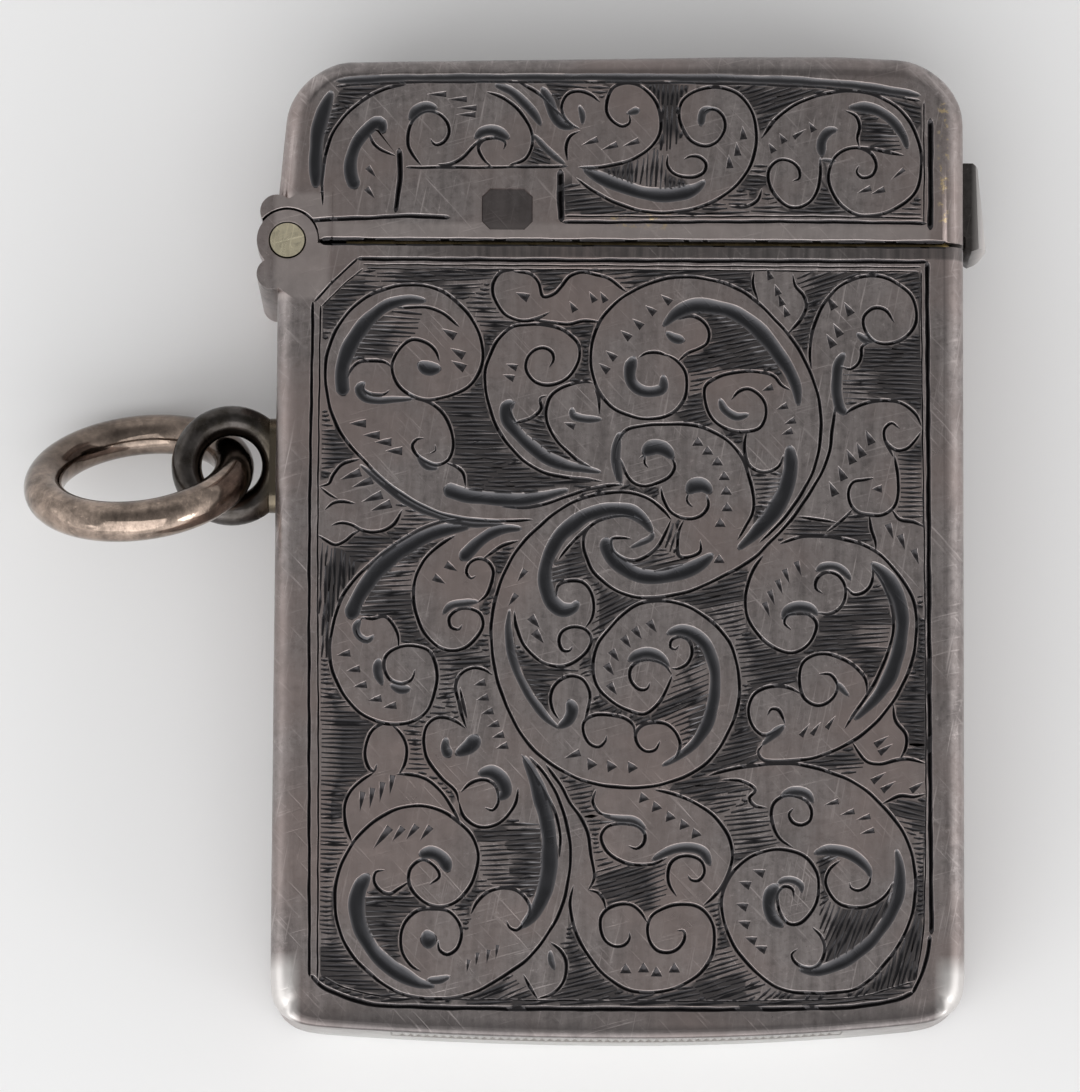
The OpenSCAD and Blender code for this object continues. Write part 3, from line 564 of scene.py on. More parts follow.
# %% Body: frame lines
BODY_FRAME = {
    "frame": (0.27, [(-13.45, 14.35), (-6, 14.33), (0, 14.33), (8, 14.35), (15.62, 14.35)]),
    "frame corner": (0.18, [(-13.4, 14.38), (-14.5, 13.3), (-15.6, 12.1)]),
    "frame left": (0.22, [(-15.66, 12.15), (-15.72, 0), (-15.62, -12), (-15.5, -22.3)]),
    "frame right": (0.3, [(15.6, 14.4), (15.66, 4), (15.7, -8), (15.78, -20)]),
    "frame foot": (0.3, [
        (-15.45, -22.2), (-14.9, -22.75), (-14, -23.2), (-12.5, -23.65), (-10, -23.8), (0, -23.85),
        (8, -23.8), (12, -23.65), (14, -23.3), (14.9, -22.9)]),
    "frame foot right": (0.26, [(15.72, -20), (15.55, -21.2), (15.2, -22.2), (14.8, -23)]),
    "mouth edge": (0.26, [(-15.3, 15.14), (0, 15.14), (16.9, 15.14)]),
    "fine top": (0.13, [(-13.2, 14.05), (0, 14.06), (15.3, 14.06)]),
    "fine top low": (0.12, [(-13, 13.84), (0, 13.86), (15.2, 13.84)]),
    "fine corner": (0.12, [(-13.1, 13.86), (-14.2, 12.9), (-15.25, 11.85)]),
    "fine left": (0.14, [(-15.28, 11.95), (-15.3, 0), (-15.15, -12), (-15.1, -22.4)]),
    "fine right": (0.12, [(15.3, 13.9), (15.38, 5), (15.48, -4), (15.5, -14), (15.35, -20), (15, -22.3)]),
    "fine foot": (0.12, [
        (-14.95, -22.25), (-13.6, -22.88), (-11.5, -23.32), (-8, -23.4), (0, -23.43), (8, -23.38),
        (12, -23.18), (14.9, -22.4)]),
}
print(len(BODY_FRAME), "frame lines on the body")

# %% [markdown]
# Beside the stems run broad scooped gouges, and smaller ones make the dark wedge in the eye of a
# curl. Each has its width and the lengths over which it swells and lifts.

# %% Body: gouges
BODY_GOUGES = {
    "upper left": (0.62, 3.2, 0.3, [
        (-9.9, 12.2), (-10.8, 12.25), (-11.75, 12), (-12.6, 11.4), (-13.3, 10.6), (-13.8, 9.7),
        (-14.1, 8.8), (-14.15, 8), (-14.05, 7.25)]),
    "upper left eye": (0.62, 0.4, 0.5, [(-10.3, 9), (-9.8, 8.7), (-9.1, 8.7)]),
    "upper left hook": (0.42, 0.5, 2.5, [
        (-12.95, 7.98), (-13.25, 7.65), (-13, 7.2), (-12.3, 7.03), (-11.4, 7.1), (-10.5, 7.15)]),
    "under the upper left": (0.34, 1.5, 2, [
        (-13.2, 3.75), (-12, 2.75), (-10.5, 1.7), (-9, 1.07), (-7.5, 0.75), (-5.8, 0.72)]),
    "lower leaf curl": (0.34, 0.6, 0.6, [(-10.3, 4.2), (-9.75, 3.65), (-9.2, 3.55)]),
    "upper stem": (0.6, 0.3, 3.5, [
        (-8.95, 2.55), (-8, 2.25), (-7, 2.08), (-6, 2), (-5, 2), (-4, 2.15), (-2.6, 2.5)]),
    "middle leaf": (0.55, 0.5, 3, [
        (-5.35, 7), (-5.75, 6.75), (-5.75, 6.2), (-5.3, 5.5), (-4.6, 4.8), (-3.8, 4.2), (-2.8, 3.78),
        (-1.8, 3.57), (-0.95, 3.42)]),
    "inner leaf": (0.36, 0.5, 0.6, [(-2.45, 6.75), (-2.4, 6.35), (-1.8, 6.15), (-0.9, 6.15)]),
    "upper right": (0.62, 2, 2.5, [
        (2.15, 10.95), (2.8, 11.6), (3.7, 12), (4.6, 11.97), (5.5, 11.8), (6.4, 11.3), (7.2, 10.6),
        (7.9, 9.75), (8.5, 8.85), (8.9, 8), (9.1, 6.9)]),
    "upper right eye": (0.5, 0.5, 0.9, [
        (0.72, 9.4), (0.5, 8.8), (0.55, 8.1), (0.95, 7.7), (1.6, 7.57), (2.15, 7.75), (2.2, 8.45)]),
    "stem tip": (0.4, 0.6, 0.3, [(2.3, 10.65), (2.7, 10.35), (3.3, 10.2)]),
    "ring lobe": (0.4, 0.5, 0.8, [(5.05, 7.25), (5.3, 6.7), (5.9, 6.32), (6.55, 6.45)]),
    "right inside": (0.66, 0.8, 2, [
        (8.6, 4.85), (8.68, 4), (8.6, 3.2), (8.35, 2.4), (7.9, 1.6), (7.3, 0.8), (6.7, 0.15), (6, -0.5)]),
    "curled leaf": (0.4, 0.8, 0.5, [(0, 5.5), (-0.15, 4.9), (-0.2, 4.2), (-0.1, 3.4), (0.08, 2.85)]),
    "first curl": (0.6, 0.5, 0.7, [(1.15, 4.35), (1.7, 4.72), (2.2, 4.65), (2.75, 4.15)]),
    "second curl": (0.6, 0.5, 0.7, [(3.4, 2.35), (3.8, 2.75), (4.25, 2.75), (4.65, 2.35)]),
    "right curl": (0.36, 0.5, 0.5, [(12, 10.65), (12.4, 10.35), (12.9, 10.2)]),
    "right curl stem": (0.48, 0.9, 0.5, [
        (11.4, 9.65), (11.1, 9.1), (11, 8.2), (11.05, 7.3), (11.2, 6.75), (11.55, 6.5)]),
    "great scroll": (0.6, 1.6, 0.8, [
        (1.65, 0.35), (1.25, 0.92), (0.6, 1.38), (-0.1, 1.52), (-0.9, 1.46), (-1.7, 1.18), (-2.4, 0.7),
        (-3.05, 0.1), (-3.5, -0.7), (-3.75, -1.6), (-3.7, -2.5), (-3.4, -3.25), (-2.85, -3.65),
        (-2.3, -3.5), (-2.1, -3.15)]),
    "centre": (0.6, 1.2, 0.4, [
        (4.75, -0.72), (4.1, -1.25), (3.1, -1.72), (2, -1.95), (1, -1.85), (0.2, -1.45), (-0.4, -0.95),
        (-0.68, -0.4), (-0.65, 0.1)]),
    "centre eye": (0.3, 0.8, 0.3, [(0.5, -0.45), (1.1, -0.2), (1.6, 0.08), (1.72, 0.4)]),
    "left ring": (0.38, 2, 1.5, [
        (-5.55, -3.6), (-5.6, -4.8), (-5.42, -6), (-5, -7.1), (-4.4, -8.2), (-3.7, -9.1), (-3, -9.7)]),
    "heart": (0.55, 0.5, 0.7, [(-2.55, -8.2), (-2.35, -8.75), (-2.55, -9.25), (-3.05, -9.65)]),
    "disc": (0.5, 0.8, 3, [
        (2.4, -4.85), (3, -4.63), (3.7, -4.77), (4.3, -5.25), (4.7, -6.1), (4.88, -7.2), (4.78, -8.3),
        (4.5, -9.3), (4, -10.2), (3.3, -10.9), (2.2, -11.55)]),
    "disc curl": (0.42, 0.5, 0.9, [(0.45, -6.25), (0.9, -5.92), (1.5, -5.78), (2.1, -6), (2.55, -6.5)]),
    "left scroll": (0.66, 2.5, 0.4, [
        (-7.6, 0.6), (-8.6, 0.45), (-9.6, 0.18), (-10.6, -0.35), (-11.6, -1.05), (-12.4, -1.85),
        (-13, -2.7), (-13.4, -3.5), (-13.6, -4.2)]),
    "left scroll hook": (0.34, 0.4, 0.5, [
        (-13.1, -4.15), (-13.32, -4.6), (-13.15, -5.05), (-12.75, -5.25), (-12.4, -5)]),
    "left scroll eye": (0.42, 0.4, 0.5, [(-12.12, -6.15), (-12.22, -6.8), (-11.95, -7.55)]),
    "left scroll eye low": (0.36, 0.5, 0.3, [(-11.6, -7.5), (-11.05, -7.75), (-10.5, -7.68)]),
    "left leaf": (0.52, 1.5, 0.3, [
        (-4.95, 0.5), (-5.7, 0.48), (-6.5, 0.25), (-7.2, -0.25), (-7.7, -0.75), (-8.05, -1.15)]),
    "left leaf low": (0.34, 0.5, 0.6, [(-8.95, -3.9), (-8.5, -3.42), (-7.8, -3.3), (-7.1, -3.25)]),
    "heart leaf left": (0.46, 0.8, 0.2, [(-8.72, -10.15), (-8.75, -10.7), (-8.5, -11.2)]),
    "heart leaf right": (0.62, 0.4, 0.7, [(-7.15, -10), (-7.45, -10.55), (-8.25, -11.05)]),
    "low curl": (0.55, 0.7, 0.6, [
        (-7.1, -12), (-6.4, -11.9), (-5.85, -12.3), (-5.7, -12.95), (-6.1, -13.3)]),
    "lower left": (0.64, 0.6, 2, [
        (-12.55, -17.1), (-13, -17.8), (-13.15, -18.7), (-13, -19.7), (-12.5, -20.7), (-11.8, -21.5),
        (-10.9, -22.15), (-10, -22.6), (-9.2, -22.75)]),
    "lower left end": (0.36, 0.4, 0.5, [(-9.6, -22.4), (-9, -22.45), (-8.4, -22.25)]),
    "lower left eye": (0.58, 0.6, 0.5, [(-10.05, -16.15), (-9.4, -16), (-8.8, -16.35), (-8.5, -17)]),
    "lower left ball": (0.7, 0.3, 0.4, [(-9.95, -20.45), (-9.5, -20.4), (-9.1, -20.3)]),
    "long stem": (0.66, 2.5, 1.6, [
        (-4.8, -11.1), (-4.25, -12.2), (-3.85, -13.4), (-3.55, -14.7), (-3.45, -16), (-3.5, -17.1),
        (-3.8, -18.2), (-4.25, -19.1), (-4.85, -19.8)]),
    "bottom leaf": (0.34, 0.8, 0.5, [(-0.8, -14.08), (0, -14.22), (0.8, -14.33), (1.4, -14.8)]),
    "bottom leaf tail": (0.42, 1, 0.7, [
        (1.7, -16.35), (2.3, -15.98), (3, -15.72), (3.7, -15.67), (4.3, -15.92), (4.65, -16.6)]),
    "corner leaf": (0.32, 0.4, 0.4, [(-3.4, -20.9), (-3.35, -21.4), (-3.15, -21.9)]),
    "lower right eye": (0.52, 0.5, 0.5, [
        (8.05, -17.5), (7.7, -17.95), (7.58, -18.55), (7.8, -19.2), (8.35, -19.65)]),
    "lower right eye top": (0.32, 0.4, 0.4, [
        (8, -17.5), (8.4, -17.28), (8.85, -17.3), (9.2, -17.55), (9.25, -17.95)]),
    "lower right curl": (0.46, 0.8, 0.8, [
        (9.85, -15.95), (10.6, -15.78), (11.4, -15.87), (12.1, -16.2), (12.6, -16.75), (12.72, -17.15)]),
    "lower right ring": (0.5, 1, 1.5, [
        (9.1, -21.8), (10, -21.88), (11, -21.57), (12, -20.97), (12.9, -20.2), (13.6, -19.2),
        (14.05, -18.2), (14.2, -17.2), (14.15, -16.3), (14, -15.7)]),
    "top right ball": (0.36, 0.5, 0.5, [(8.2, -12.97), (8.85, -12.78), (9.5, -12.92), (9.85, -13.4)]),
    "right ring": (0.58, 1.2, 2.5, [
        (12.75, -1.15), (13.3, -1.55), (13.8, -2.2), (14.15, -3), (14.32, -3.9), (14.3, -4.8),
        (14.1, -5.8), (13.75, -6.8), (13.25, -7.7), (12.6, -8.5), (11.9, -9.15)]),
    "right left lobe": (0.42, 0.4, 0.6, [
        (8.25, -4.05), (8.6, -3.55), (9.15, -3.37), (9.75, -3.52), (10.05, -3.85)]),
    "right top curl": (0.36, 0.4, 0.6, [
        (9.95, -1.6), (10.4, -1.33), (11, -1.35), (11.5, -1.7), (11.75, -2.05)]),
    "right low leaf": (0.38, 0.5, 1, [(8.4, -9.45), (7.75, -9.98), (7.2, -10.5)]),
    "right low curl": (0.32, 0.4, 0.5, [(11.1, -7.25), (11.3, -7.6), (11.65, -7.95)]),
}
print(len(BODY_GOUGES), "gouges on the body")

# %% [markdown]
# Rows of short wedge-shaped nicks shade the leaves. Each row has the way its wedges point, their
# length and width, and the places of their blunt ends.

# %% Body: nicks
BODY_NICKS = [
    (-30, 0.8, 0.5, [(-8.4, 10.35), (-7.95, 9.35), (-7.9, 8.7)]),
    (0, 0.85, 0.48, [(-12.9, 5.85), (-12.2, 5.25), (-11.6, 4.9), (-11.05, 4.45)]),
    (20, 1.1, 0.5, [(-13.15, 3.35), (-12.55, 2.95), (-12.05, 2.2), (-11.6, 1.75)]),
    (-25, 0.7, 0.5, [(-4.7, 12.35)]),
    (-60, 0.6, 0.4, [(-2.3, 11.7), (-1.3, 12.2), (-0.75, 12.2)]),
    (-20, 0.6, 0.4, [(-5.25, 8.75), (-5.4, 8.2), (-2.3, 5.75)]),
    (-40, 0.65, 0.45, [
        (0.5, 10.3), (1.1, 10.9), (1.75, 11.6), (2.55, 12.15), (-0.25, 9.25), (-0.6, 8.6)]),
    (20, 0.6, 0.4, [(7.75, 7.85), (8.5, 6.9), (8.9, 6.15), (8.75, 5.6)]),
    (-90, 0.45, 0.62, [
        (3.95, 4.8), (4.45, 4.35), (4.95, 3.8), (5.3, 3.05), (5.4, 2.3), (5.45, 1.45), (5.1, 0.65),
        (5.05, -1.2)]),
    (-70, 0.6, 0.4, [(7.65, 13.4), (8.05, 12.6), (8.25, 12.05), (8.5, 11.5)]),
    (-60, 0.75, 0.48, [(11.75, 11.6), (11.2, 10.5), (10.85, 9.95), (10.9, 11.9)]),
    (-65, 0.8, 0.48, [(12.8, 4.95), (12.35, 4.3), (11.85, 3.95), (11.4, 3.1), (10.95, 2.3)]),
    (0, 0.5, 0.45, [(13.3, 2.65)]),
    (110, 0.8, 0.42, [(13.6, 0.85), (14.2, 0.3), (14.9, -0.45)]),
    (110, 0.8, 0.36, [(8.95, -1.1), (8.35, -1.5), (8.0, -2.05), (7.6, -2.6), (7.35, -3.2)]),
    (10, 0.68, 0.42, [(-13.6, -5.9), (-13.1, -6.7), (-12.75, -7.5), (-12.0, -8.2), (-11.25, -8.55)]),
    (150, 0.7, 0.45, [(-8.8, -1.35), (-9.4, -2)]),
    (15, 0.62, 0.42, [
        (-6.75, -7.35), (-6.6, -8.1), (-6.35, -8.8), (-6.05, -9.45), (-5.8, -10), (-5.6, -10.55)]),
    (82, 1.05, 0.36, [(-12.9, -12.95), (-12.4, -12.75), (-11.9, -12.45), (-11.4, -12.1)]),
    (52, 1.4, 0.45, [(-11.5, -14.75)]),
    (52, 0.9, 0.4, [(-10.85, -14.75), (-10.15, -14.65), (-9.45, -14.7)]),
    (82, 0.75, 0.26, [(-7.5, -21.4), (-7.05, -21.05), (-6.5, -20.9), (-6.05, -20.65)]),
    (-90, 0.5, 0.62, [(0.4, -22.05), (1.3, -22.0), (1.95, -22.2), (2.85, -22)]),
    (-70, 0.5, 0.6, [(1.3, -13.35), (1.95, -13.8), (2.65, -14.3), (3.35, -14.7), (3.95, -15.15)]),
    (-20, 0.6, 0.48, [
        (7.35, -17), (6.65, -17.6), (6.5, -18.7), (6.6, -19.6), (6.95, -20.4), (7.45, -20.85)]),
    (15, 0.75, 0.34, [(11.1, -13.3), (11.9, -13.8), (12.7, -14.05), (12.9, -14.75)]),
    (215, 0.85, 0.38, [(12.95, -10.45), (13.15, -10.85), (12.8, -12.3), (13.3, -12.75), (14.75, -12.75)]),
    (235, 0.8, 0.3, [(9.2, -10), (9.75, -9.92), (10.5, -9.6)]),
    (125, 0.68, 0.46, [(0.75, -4.55), (0.2, -5), (-0.4, -5.7), (-0.65, -6.4), (-0.5, -7.4), (1.5, -4.2)]),
    (55, 0.75, 0.38, [(-4.75, -1.6), (-5.2, -2.85)]),
    (130, 0.75, 0.5, [(-4.5, -4), (-4.3, -4.75)]),
    (20, 0.85, 0.42, [(-1.95, -10.9)]),
    (-60, 0.55, 0.6, [(-1.3, -11.65), (-0.3, -11.75), (0.75, -11.8)]),
]
print(sum(len(row[3]) for row in BODY_NICKS), "nicks on the body")

# %% [markdown]
# Between the leaves the ground is darkened with close parallel cuts. It would be tedious to draw
# them all, so each patch has one point inside it and the angle of its cuts. A flood fill spreads
# from that point until it meets a drawn edge, and parallel cuts then fill what it covered. Points
# in the leaves spread in the same way, so that no patch leaks into a leaf through a gap. A few
# fences that aren't cut close the patches whose edge fades out on the real case.

# %% Body: ground patches
BODY_FENCES = [
    [(-10.5, 10.2), (-10.2, 11), (-9.95, 11.85)],
    [(14.95, 11), (15.3, 10.9)],
    [(-2.1, -17.3), (-1.5, -17.85)],
]
BODY_GROUND = [
    (-12.4, 10.2, -3), (-14.6, 12, 0), (-9, 13.4, 2), (-7.6, 6, 0), (-6.9, 10.9, 0), (-1.85, 10.5, 5),
    (-3.9, 5, -8), (5.8, 9.8, 12), (7.4, 2.8, 5), (9.7, 13.2, 18), (5.9, 13.55, 5), (14.8, 13.4, 12),
    (13.5, 8.6, 0), (14.7, 3.5, 0), (10, 0.75, 0), (12.2, 0.75, 0), (5.2, -3.2, 12), (7.3, -6.3, 10),
    (12, -4.5, 3), (6.4, -10.4, 16), (14.7, -8.4, 0), (15.3, -5, 0), (11.4, -11.35, 5),
    (14.7, -13.6, -12), (14.8, -21.3, 75), (5.3, -21.7, 18), (1.3, -17.7, 18), (-1.8, -22.2, 15),
    (-6.3, -23, 22), (-5.5, -16, 3), (-14.6, -11, 0), (-10.3, -10.6, 0), (-11.6, -19.3, 0),
    (-5.7, -0.7, 0), (-7.7, -6.1, 5), (3.9, -7.9, 22), (-4.1, -7.2, 0), (-2.2, -1.5, 15),
    (-0.9, -3.3, 28), (4.6, -12.9, 8), (-1.9, -13.3, 10), (-10.6, 0.8, 0), (-13, -0.3, 0),
    (-14.4, -1.6, 88), (-11.4, -2.6, 3), (1.2, 2.55, 30), (2.65, 0.2, 75), (2.3, -1.35, 12),
    (6.5, -14.9, 8), (11.7, -19.5, 68), (10.3, -16.35, 32), (-8.5, -12.95, 0), (-12.5, -23.2, 5),
    (-7.55, -18.9, 0), (-14.7, -20, 0), (-1.3, -8.5, 25), (-14.6, 4.6, 0), (10, -23.3, 45), (6.5, -9, 10),
    (4.8, -18.7, 20), (-6.7, -4.9, 5), (-6.6, -3.3, 8), (-3, 2.7, 0), (15.2, -16.5, 0), (2, -23.35, 12),
]
BODY_LEAVES = [
    (-14.55, 9.3), (-13.4, 11.6), (-11.5, 12.6), (-9.6, 12.3), (-7.7, 10.6), (-7.6, 9), (-8.6, 8),
    (-8.2, 8.6), (-10.8, 8.8), (-9.2, 10.9), (-8.5, 10.2), (-13.9, 6.6), (-12.6, 6.3), (-13.2, 5),
    (-11.8, 4.2), (-11, 3.2), (-10, 2.4), (-9.6, 5.9), (-9.2, 4.4), (-10.2, 6.5), (-8.4, 3.2), (-7, 1.45),
    (-5, 1.3), (-12.8, 8.5), (-12, 8), (-13.4, 2.9), (-13, 1.2), (-12.2, 0.9), (-14.2, 1.3), (-14.6, 0.2),
    (-5.6, 12.6), (-4.8, 13), (-4, 11.9), (-3, 12.1), (-2.2, 12.8), (-1.2, 12.9), (-0.6, 12.4),
    (-2, 11.6), (-6.2, 8.5), (-5.8, 9.6), (-4.6, 10.4), (-3, 10), (-2.7, 9.2), (-6.2, 7.3), (-5.2, 8),
    (-4.2, 9.2), (-5.9, 5.9), (-4.9, 4.4), (-3.5, 3.5), (-2, 3.3), (-4.6, 6.9), (-3, 7), (-2.4, 7.2),
    (-2.9, 6), (-2.4, 5), (0, 11.5), (1, 12.4), (3, 12.8), (5, 12.7), (7, 11.6), (8.8, 9.6), (9.7, 7.5),
    (9.7, 5), (9, 2.9), (7.6, 0.8), (-0.8, 10), (0.4, 9.9), (1.5, 10.4), (0, 8), (0.6, 7), (2, 6.8),
    (2.8, 7.8), (1.2, 8.6), (3.6, 11), (3.8, 10.4), (5, 7.9), (6, 8.2), (7.4, 8), (5.2, 6.2), (6.6, 7),
    (8, 7), (8.4, 5.8), (7.4, 4.6), (1, 5.2), (2.4, 5.4), (4, 5.3), (5.4, 4.4), (6, 3), (6.2, 1.8),
    (5.6, 0.4), (1.7, 3.6), (0.6, 3.8), (3.6, 1.6), (3.4, 3.2), (4.4, 0.6), (3.6, 0), (-0.6, 1.9),
    (1.2, 1.7), (-2.4, 1.4), (-4, 0), (-5, -1.6), (-5.7, -3.4), (-6, -5), (-5.7, -7), (-4.9, -9),
    (-3.4, -10.8), (-1.6, -11.6), (1, -11.6), (3.2, -11.4), (4.6, -10), (5.4, -8.4), (5.5, -6.8),
    (4.8, -5.3), (3, -4), (1.6, -4), (0.4, -5), (-0.4, -6.4), (0, -7.6), (1, -8.3), (2, -5.6), (2, -7),
    (3, -6.1), (1.1, -6.8), (0.5, -0.5), (1.6, -0.2), (0.4, 0.6), (-0.5, -1.4), (1.4, -2.4), (3.4, -2.1),
    (5, -1.5), (6.6, -0.4), (7.9, 12.8), (8.6, 12), (7.4, 13.3), (13.6, 0.6), (14.4, 0.2), (14.9, -0.6),
    (13.4, -0.2), (-7.2, -7.6), (-6.9, -8.8), (-6.4, -9.8), (-6.6, -10.8), (-7, -11.3), (-9.2, -9.7),
    (-9.3, -11), (-8.9, -11.8), (-8.2, -10.2), (8, -2.5), (7.4, -3.8), (8.6, -5), (10.7, -2.9), (9.5, -1),
    (9, -2.8), (12.1, -1.6), (11, -0.7), (13, -0.9), (14.6, -3), (14.65, -4.5), (14.5, -6), (13.9, -7.2),
    (13.2, -8.4), (12.2, -9.5), (10, -6.4), (11.6, -7), (11.9, -7.6), (9.8, -7.6), (10.4, -7.8), (8, -8),
    (7.2, -8.8), (8, -9.2), (8.8, -8.8), (9.6, -9.2), (8.5, -10.4), (10, -10.2), (11.2, -8.8), (12, -8),
    (12.9, -12), (13.6, -12.2), (14.6, -12.2), (-13.8, -17.5), (-13.7, -19.5), (-12.8, -21.2),
    (-11.3, -22.5), (-9.5, -23.1), (-12.6, -15.8), (-11, -14.6), (-9.4, -14.5), (-8, -15.6),
    (-7.6, -16.6), (-8.4, -17.8), (-11.4, -16.4), (-9.8, -17), (-12.9, -16.6), (-11.6, -17.5),
    (-9.4, -19.6), (-10.3, -20.6), (-8.6, -20.5), (-9.6, -21.4), (-6, -18.5), (-5.2, -18.6),
    (-6.8, -19.5), (-6.2, -20.2), (-5, -20.6), (-7.2, -21), (-7.6, -22), (-6, -21.8), (-8.6, -21.9),
    (-4.2, -20.3), (-6.5, -13), (-7.2, -13.8), (-6.4, -14.3), (-5.5, -13.6), (-7.3, -12.2), (-8.2, -12.3),
    (-5.6, -11.5), (-5.3, -12.6), (-3.1, -18), (-2.7, -15.5), (-3.2, -13.4), (-2.2, -14.5), (-1.8, -15.8),
    (-1.8, -17), (-2.8, -13.2), (-1.6, -19), (-1.2, -20.4), (0, -21.6), (1, -21.8), (2.4, -21.8),
    (3.6, -21.2), (4.2, -20), (3.6, -19.2), (2.2, -19.6), (0.1, -19.2), (-0.2, -20), (1, -20.6),
    (0.9, -19.3), (-3.8, -21.8), (-3, -21.5), (-3.6, -22.8), (0, -13.4), (1, -13.6), (2.2, -14.4),
    (3.2, -15.2), (4.4, -15), (5, -16), (4.8, -17.2), (0.5, -15.2), (0, -15.8), (1.6, -15.6),
    (3.4, -16.7), (3.2, -17.8), (4, -17.9), (2.2, -13.2), (-0.2, -13), (6.5, -17), (5.8, -18.6),
    (6.2, -20), (7.2, -21.4), (8.6, -22.4), (10.6, -22.5), (12.6, -21.4), (14, -19.6), (14.6, -17.6),
    (14.4, -15.8), (8, -16.4), (9.4, -17), (9.7, -18.2), (9, -18.9), (7.1, -19.2), (8.4, -20.3),
    (9.4, -20.3), (13.6, -15), (12.6, -13.8), (11.2, -12.8), (9.6, -12.3), (8, -12.2), (6.8, -12),
    (10.4, -14.4), (9, -15.2), (8.2, -14), (9.2, -14), (10.6, -15.2), (12, -15.3), (13.4, -16.2),
    (11.6, -16.8), (12.4, -18.2), (11.2, -17.8), (13.2, -17.4), (9.6, -21), (9.9, -20.5), (-13, -5.8),
    (-12.5, -4.6), (-10.5, -8.6), (-10, -6.2), (-9.6, -2), (-8, -3), (-8.8, -5), (-11.8, -10.6),
    (-12.6, -13.2), (-10.6, -13), (13.4, -10.4), (7, -12.4),
]
print(len(BODY_GROUND), "ground patches and", len(BODY_LEAVES), "leaf points on the body")

# %% [markdown]
# The lid carries a shorter run of the same scrolls, and a plain reserve at the left with a small
# sunk field in it. A fine seam runs round the ear of the hinge.

# %% Lid: edges, frame and gouges
LID_LINES = {
    "left scroll": [
        (-15.2, 17.1), (-15.25, 18.5), (-15.05, 19.9), (-14.65, 21), (-14, 21.9), (-13, 22.7),
        (-12, 23.2), (-11, 23.42)],
    "left lobe": [(-12.9, 20.95), (-12.7, 20.4), (-12.3, 20.02), (-11.5, 19.7)],
    "left curl": [
        (-10.2, 19.2), (-10.6, 19.7), (-10.9, 20.3), (-10.85, 21.05), (-10.55, 21.65), (-10, 22),
        (-9.3, 21.88), (-8.87, 21.4), (-8.8, 20.85), (-9.1, 20.4), (-9.5, 20.3), (-9.75, 20.6)],
    "left curl foot": [(-9.4, 19.25), (-8.7, 19.3), (-8.1, 19.6), (-7.6, 20.15), (-7.1, 20.65)],
    "second curl": [
        (-6.6, 19.15), (-7.05, 19.55), (-7.3, 20.15), (-7, 20.55), (-6.3, 20.63), (-5.92, 20.4),
        (-6, 20.05)],
    "second curl back": [
        (-6.9, 23.05), (-6, 22.7), (-5.2, 22.05), (-4.7, 21.3), (-4.53, 20.6), (-4.65, 20), (-5, 19.5),
        (-5.7, 19.25)],
    "stem top": [(-5.3, 23.6), (-4.5, 23.15), (-3.95, 22.72), (-3.4, 22.15), (-3, 21.8)],
    "third curl": [
        (-1.1, 22.55), (-1.6, 22.95), (-2.2, 23.1), (-2.75, 22.95), (-3.05, 22.4), (-2.95, 21.8),
        (-2.6, 21.4), (-2.1, 21.15)],
    "tear": [
        (-2.2, 19.15), (-1.4, 19.13), (-0.4, 19.28), (0.6, 19.6), (1.4, 20.12), (1.9, 20.75),
        (2.02, 21.5), (1.87, 22.3), (1.5, 22.95), (0.9, 23.42), (0.2, 23.55), (-0.4, 23.3), (-0.7, 22.75),
        (-0.75, 22.05), (-0.45, 21.55), (0.05, 21.3), (0.42, 21.5), (0.4, 21.95)],
    "tear back": [(-2.1, 21.05), (-2.6, 20.75), (-2.82, 20.2), (-2.75, 19.5)],
    "right belly": [
        (-2.3, 18.6), (-1.5, 18), (-0.5, 17.42), (0.8, 16.97), (2.2, 16.82), (3.6, 17), (4.7, 17.42),
        (5.6, 18), (6.25, 18.7), (6.7, 19.6), (6.9, 20.6), (6.83, 21.6), (6.5, 22.4), (5.95, 23),
        (5.3, 23.3), (4.5, 23.35), (3.7, 23.1), (3.1, 22.6), (2.95, 21.9), (3.12, 21.2), (3.6, 20.55),
        (4.3, 20.3), (4.9, 20.55), (5.3, 21.2), (5.2, 21.85), (4.8, 22.2), (4.35, 22.15), (4.1, 21.75)],
    "belly curl": [
        (2.4, 19.85), (2.35, 19.3), (2.6, 18.92), (3.1, 18.7), (3.8, 18.7), (4.25, 19), (4.32, 19.4),
        (4, 19.72), (3.5, 19.75), (3.2, 19.6)],
    "right scroll": [
        (7.15, 20.7), (7.8, 21.6), (8.7, 22.35), (9.8, 22.88), (11, 23.15), (12.2, 23.17), (13.3, 22.85),
        (14.3, 22.15), (14.95, 21.2), (15.28, 20.2), (15.3, 19.2), (15.1, 18.1), (14.6, 17.5), (14, 17.1),
        (13.1, 16.78), (12, 16.78), (11.3, 17.2), (10.8, 17.9), (10.6, 18.6), (10.65, 19.2),
        (10.95, 19.8), (11.5, 20.18), (12.2, 20.22), (12.8, 19.9), (13.02, 19.3), (12.8, 18.8),
        (12.3, 18.7), (12.02, 19), (12.15, 19.35)],
    "right left curl": [
        (10.15, 19.75), (10.17, 18.8), (10.05, 18.1), (9.65, 17.45), (9.15, 17.17), (8.5, 17.2),
        (7.9, 17.7), (7.52, 18.5), (7.6, 19.15), (8.1, 19.6), (8.7, 19.5), (9.1, 19.1), (9.1, 18.65),
        (8.75, 18.5)],
    "right top": [(11.4, 22.2), (12, 21.9), (12.17, 21.4), (12.05, 20.75), (12.15, 20.3)],
    "right ledge": [(12.1, 20.3), (13.3, 20.1), (14.45, 19.85)],
    "right foot": [(7.2, 18.1), (6.95, 17.5), (6.4, 17.17), (5.5, 17.15)],
}
PIN_X = -17
PIN_Y = 15.3
EAR_SEAM = 1.62
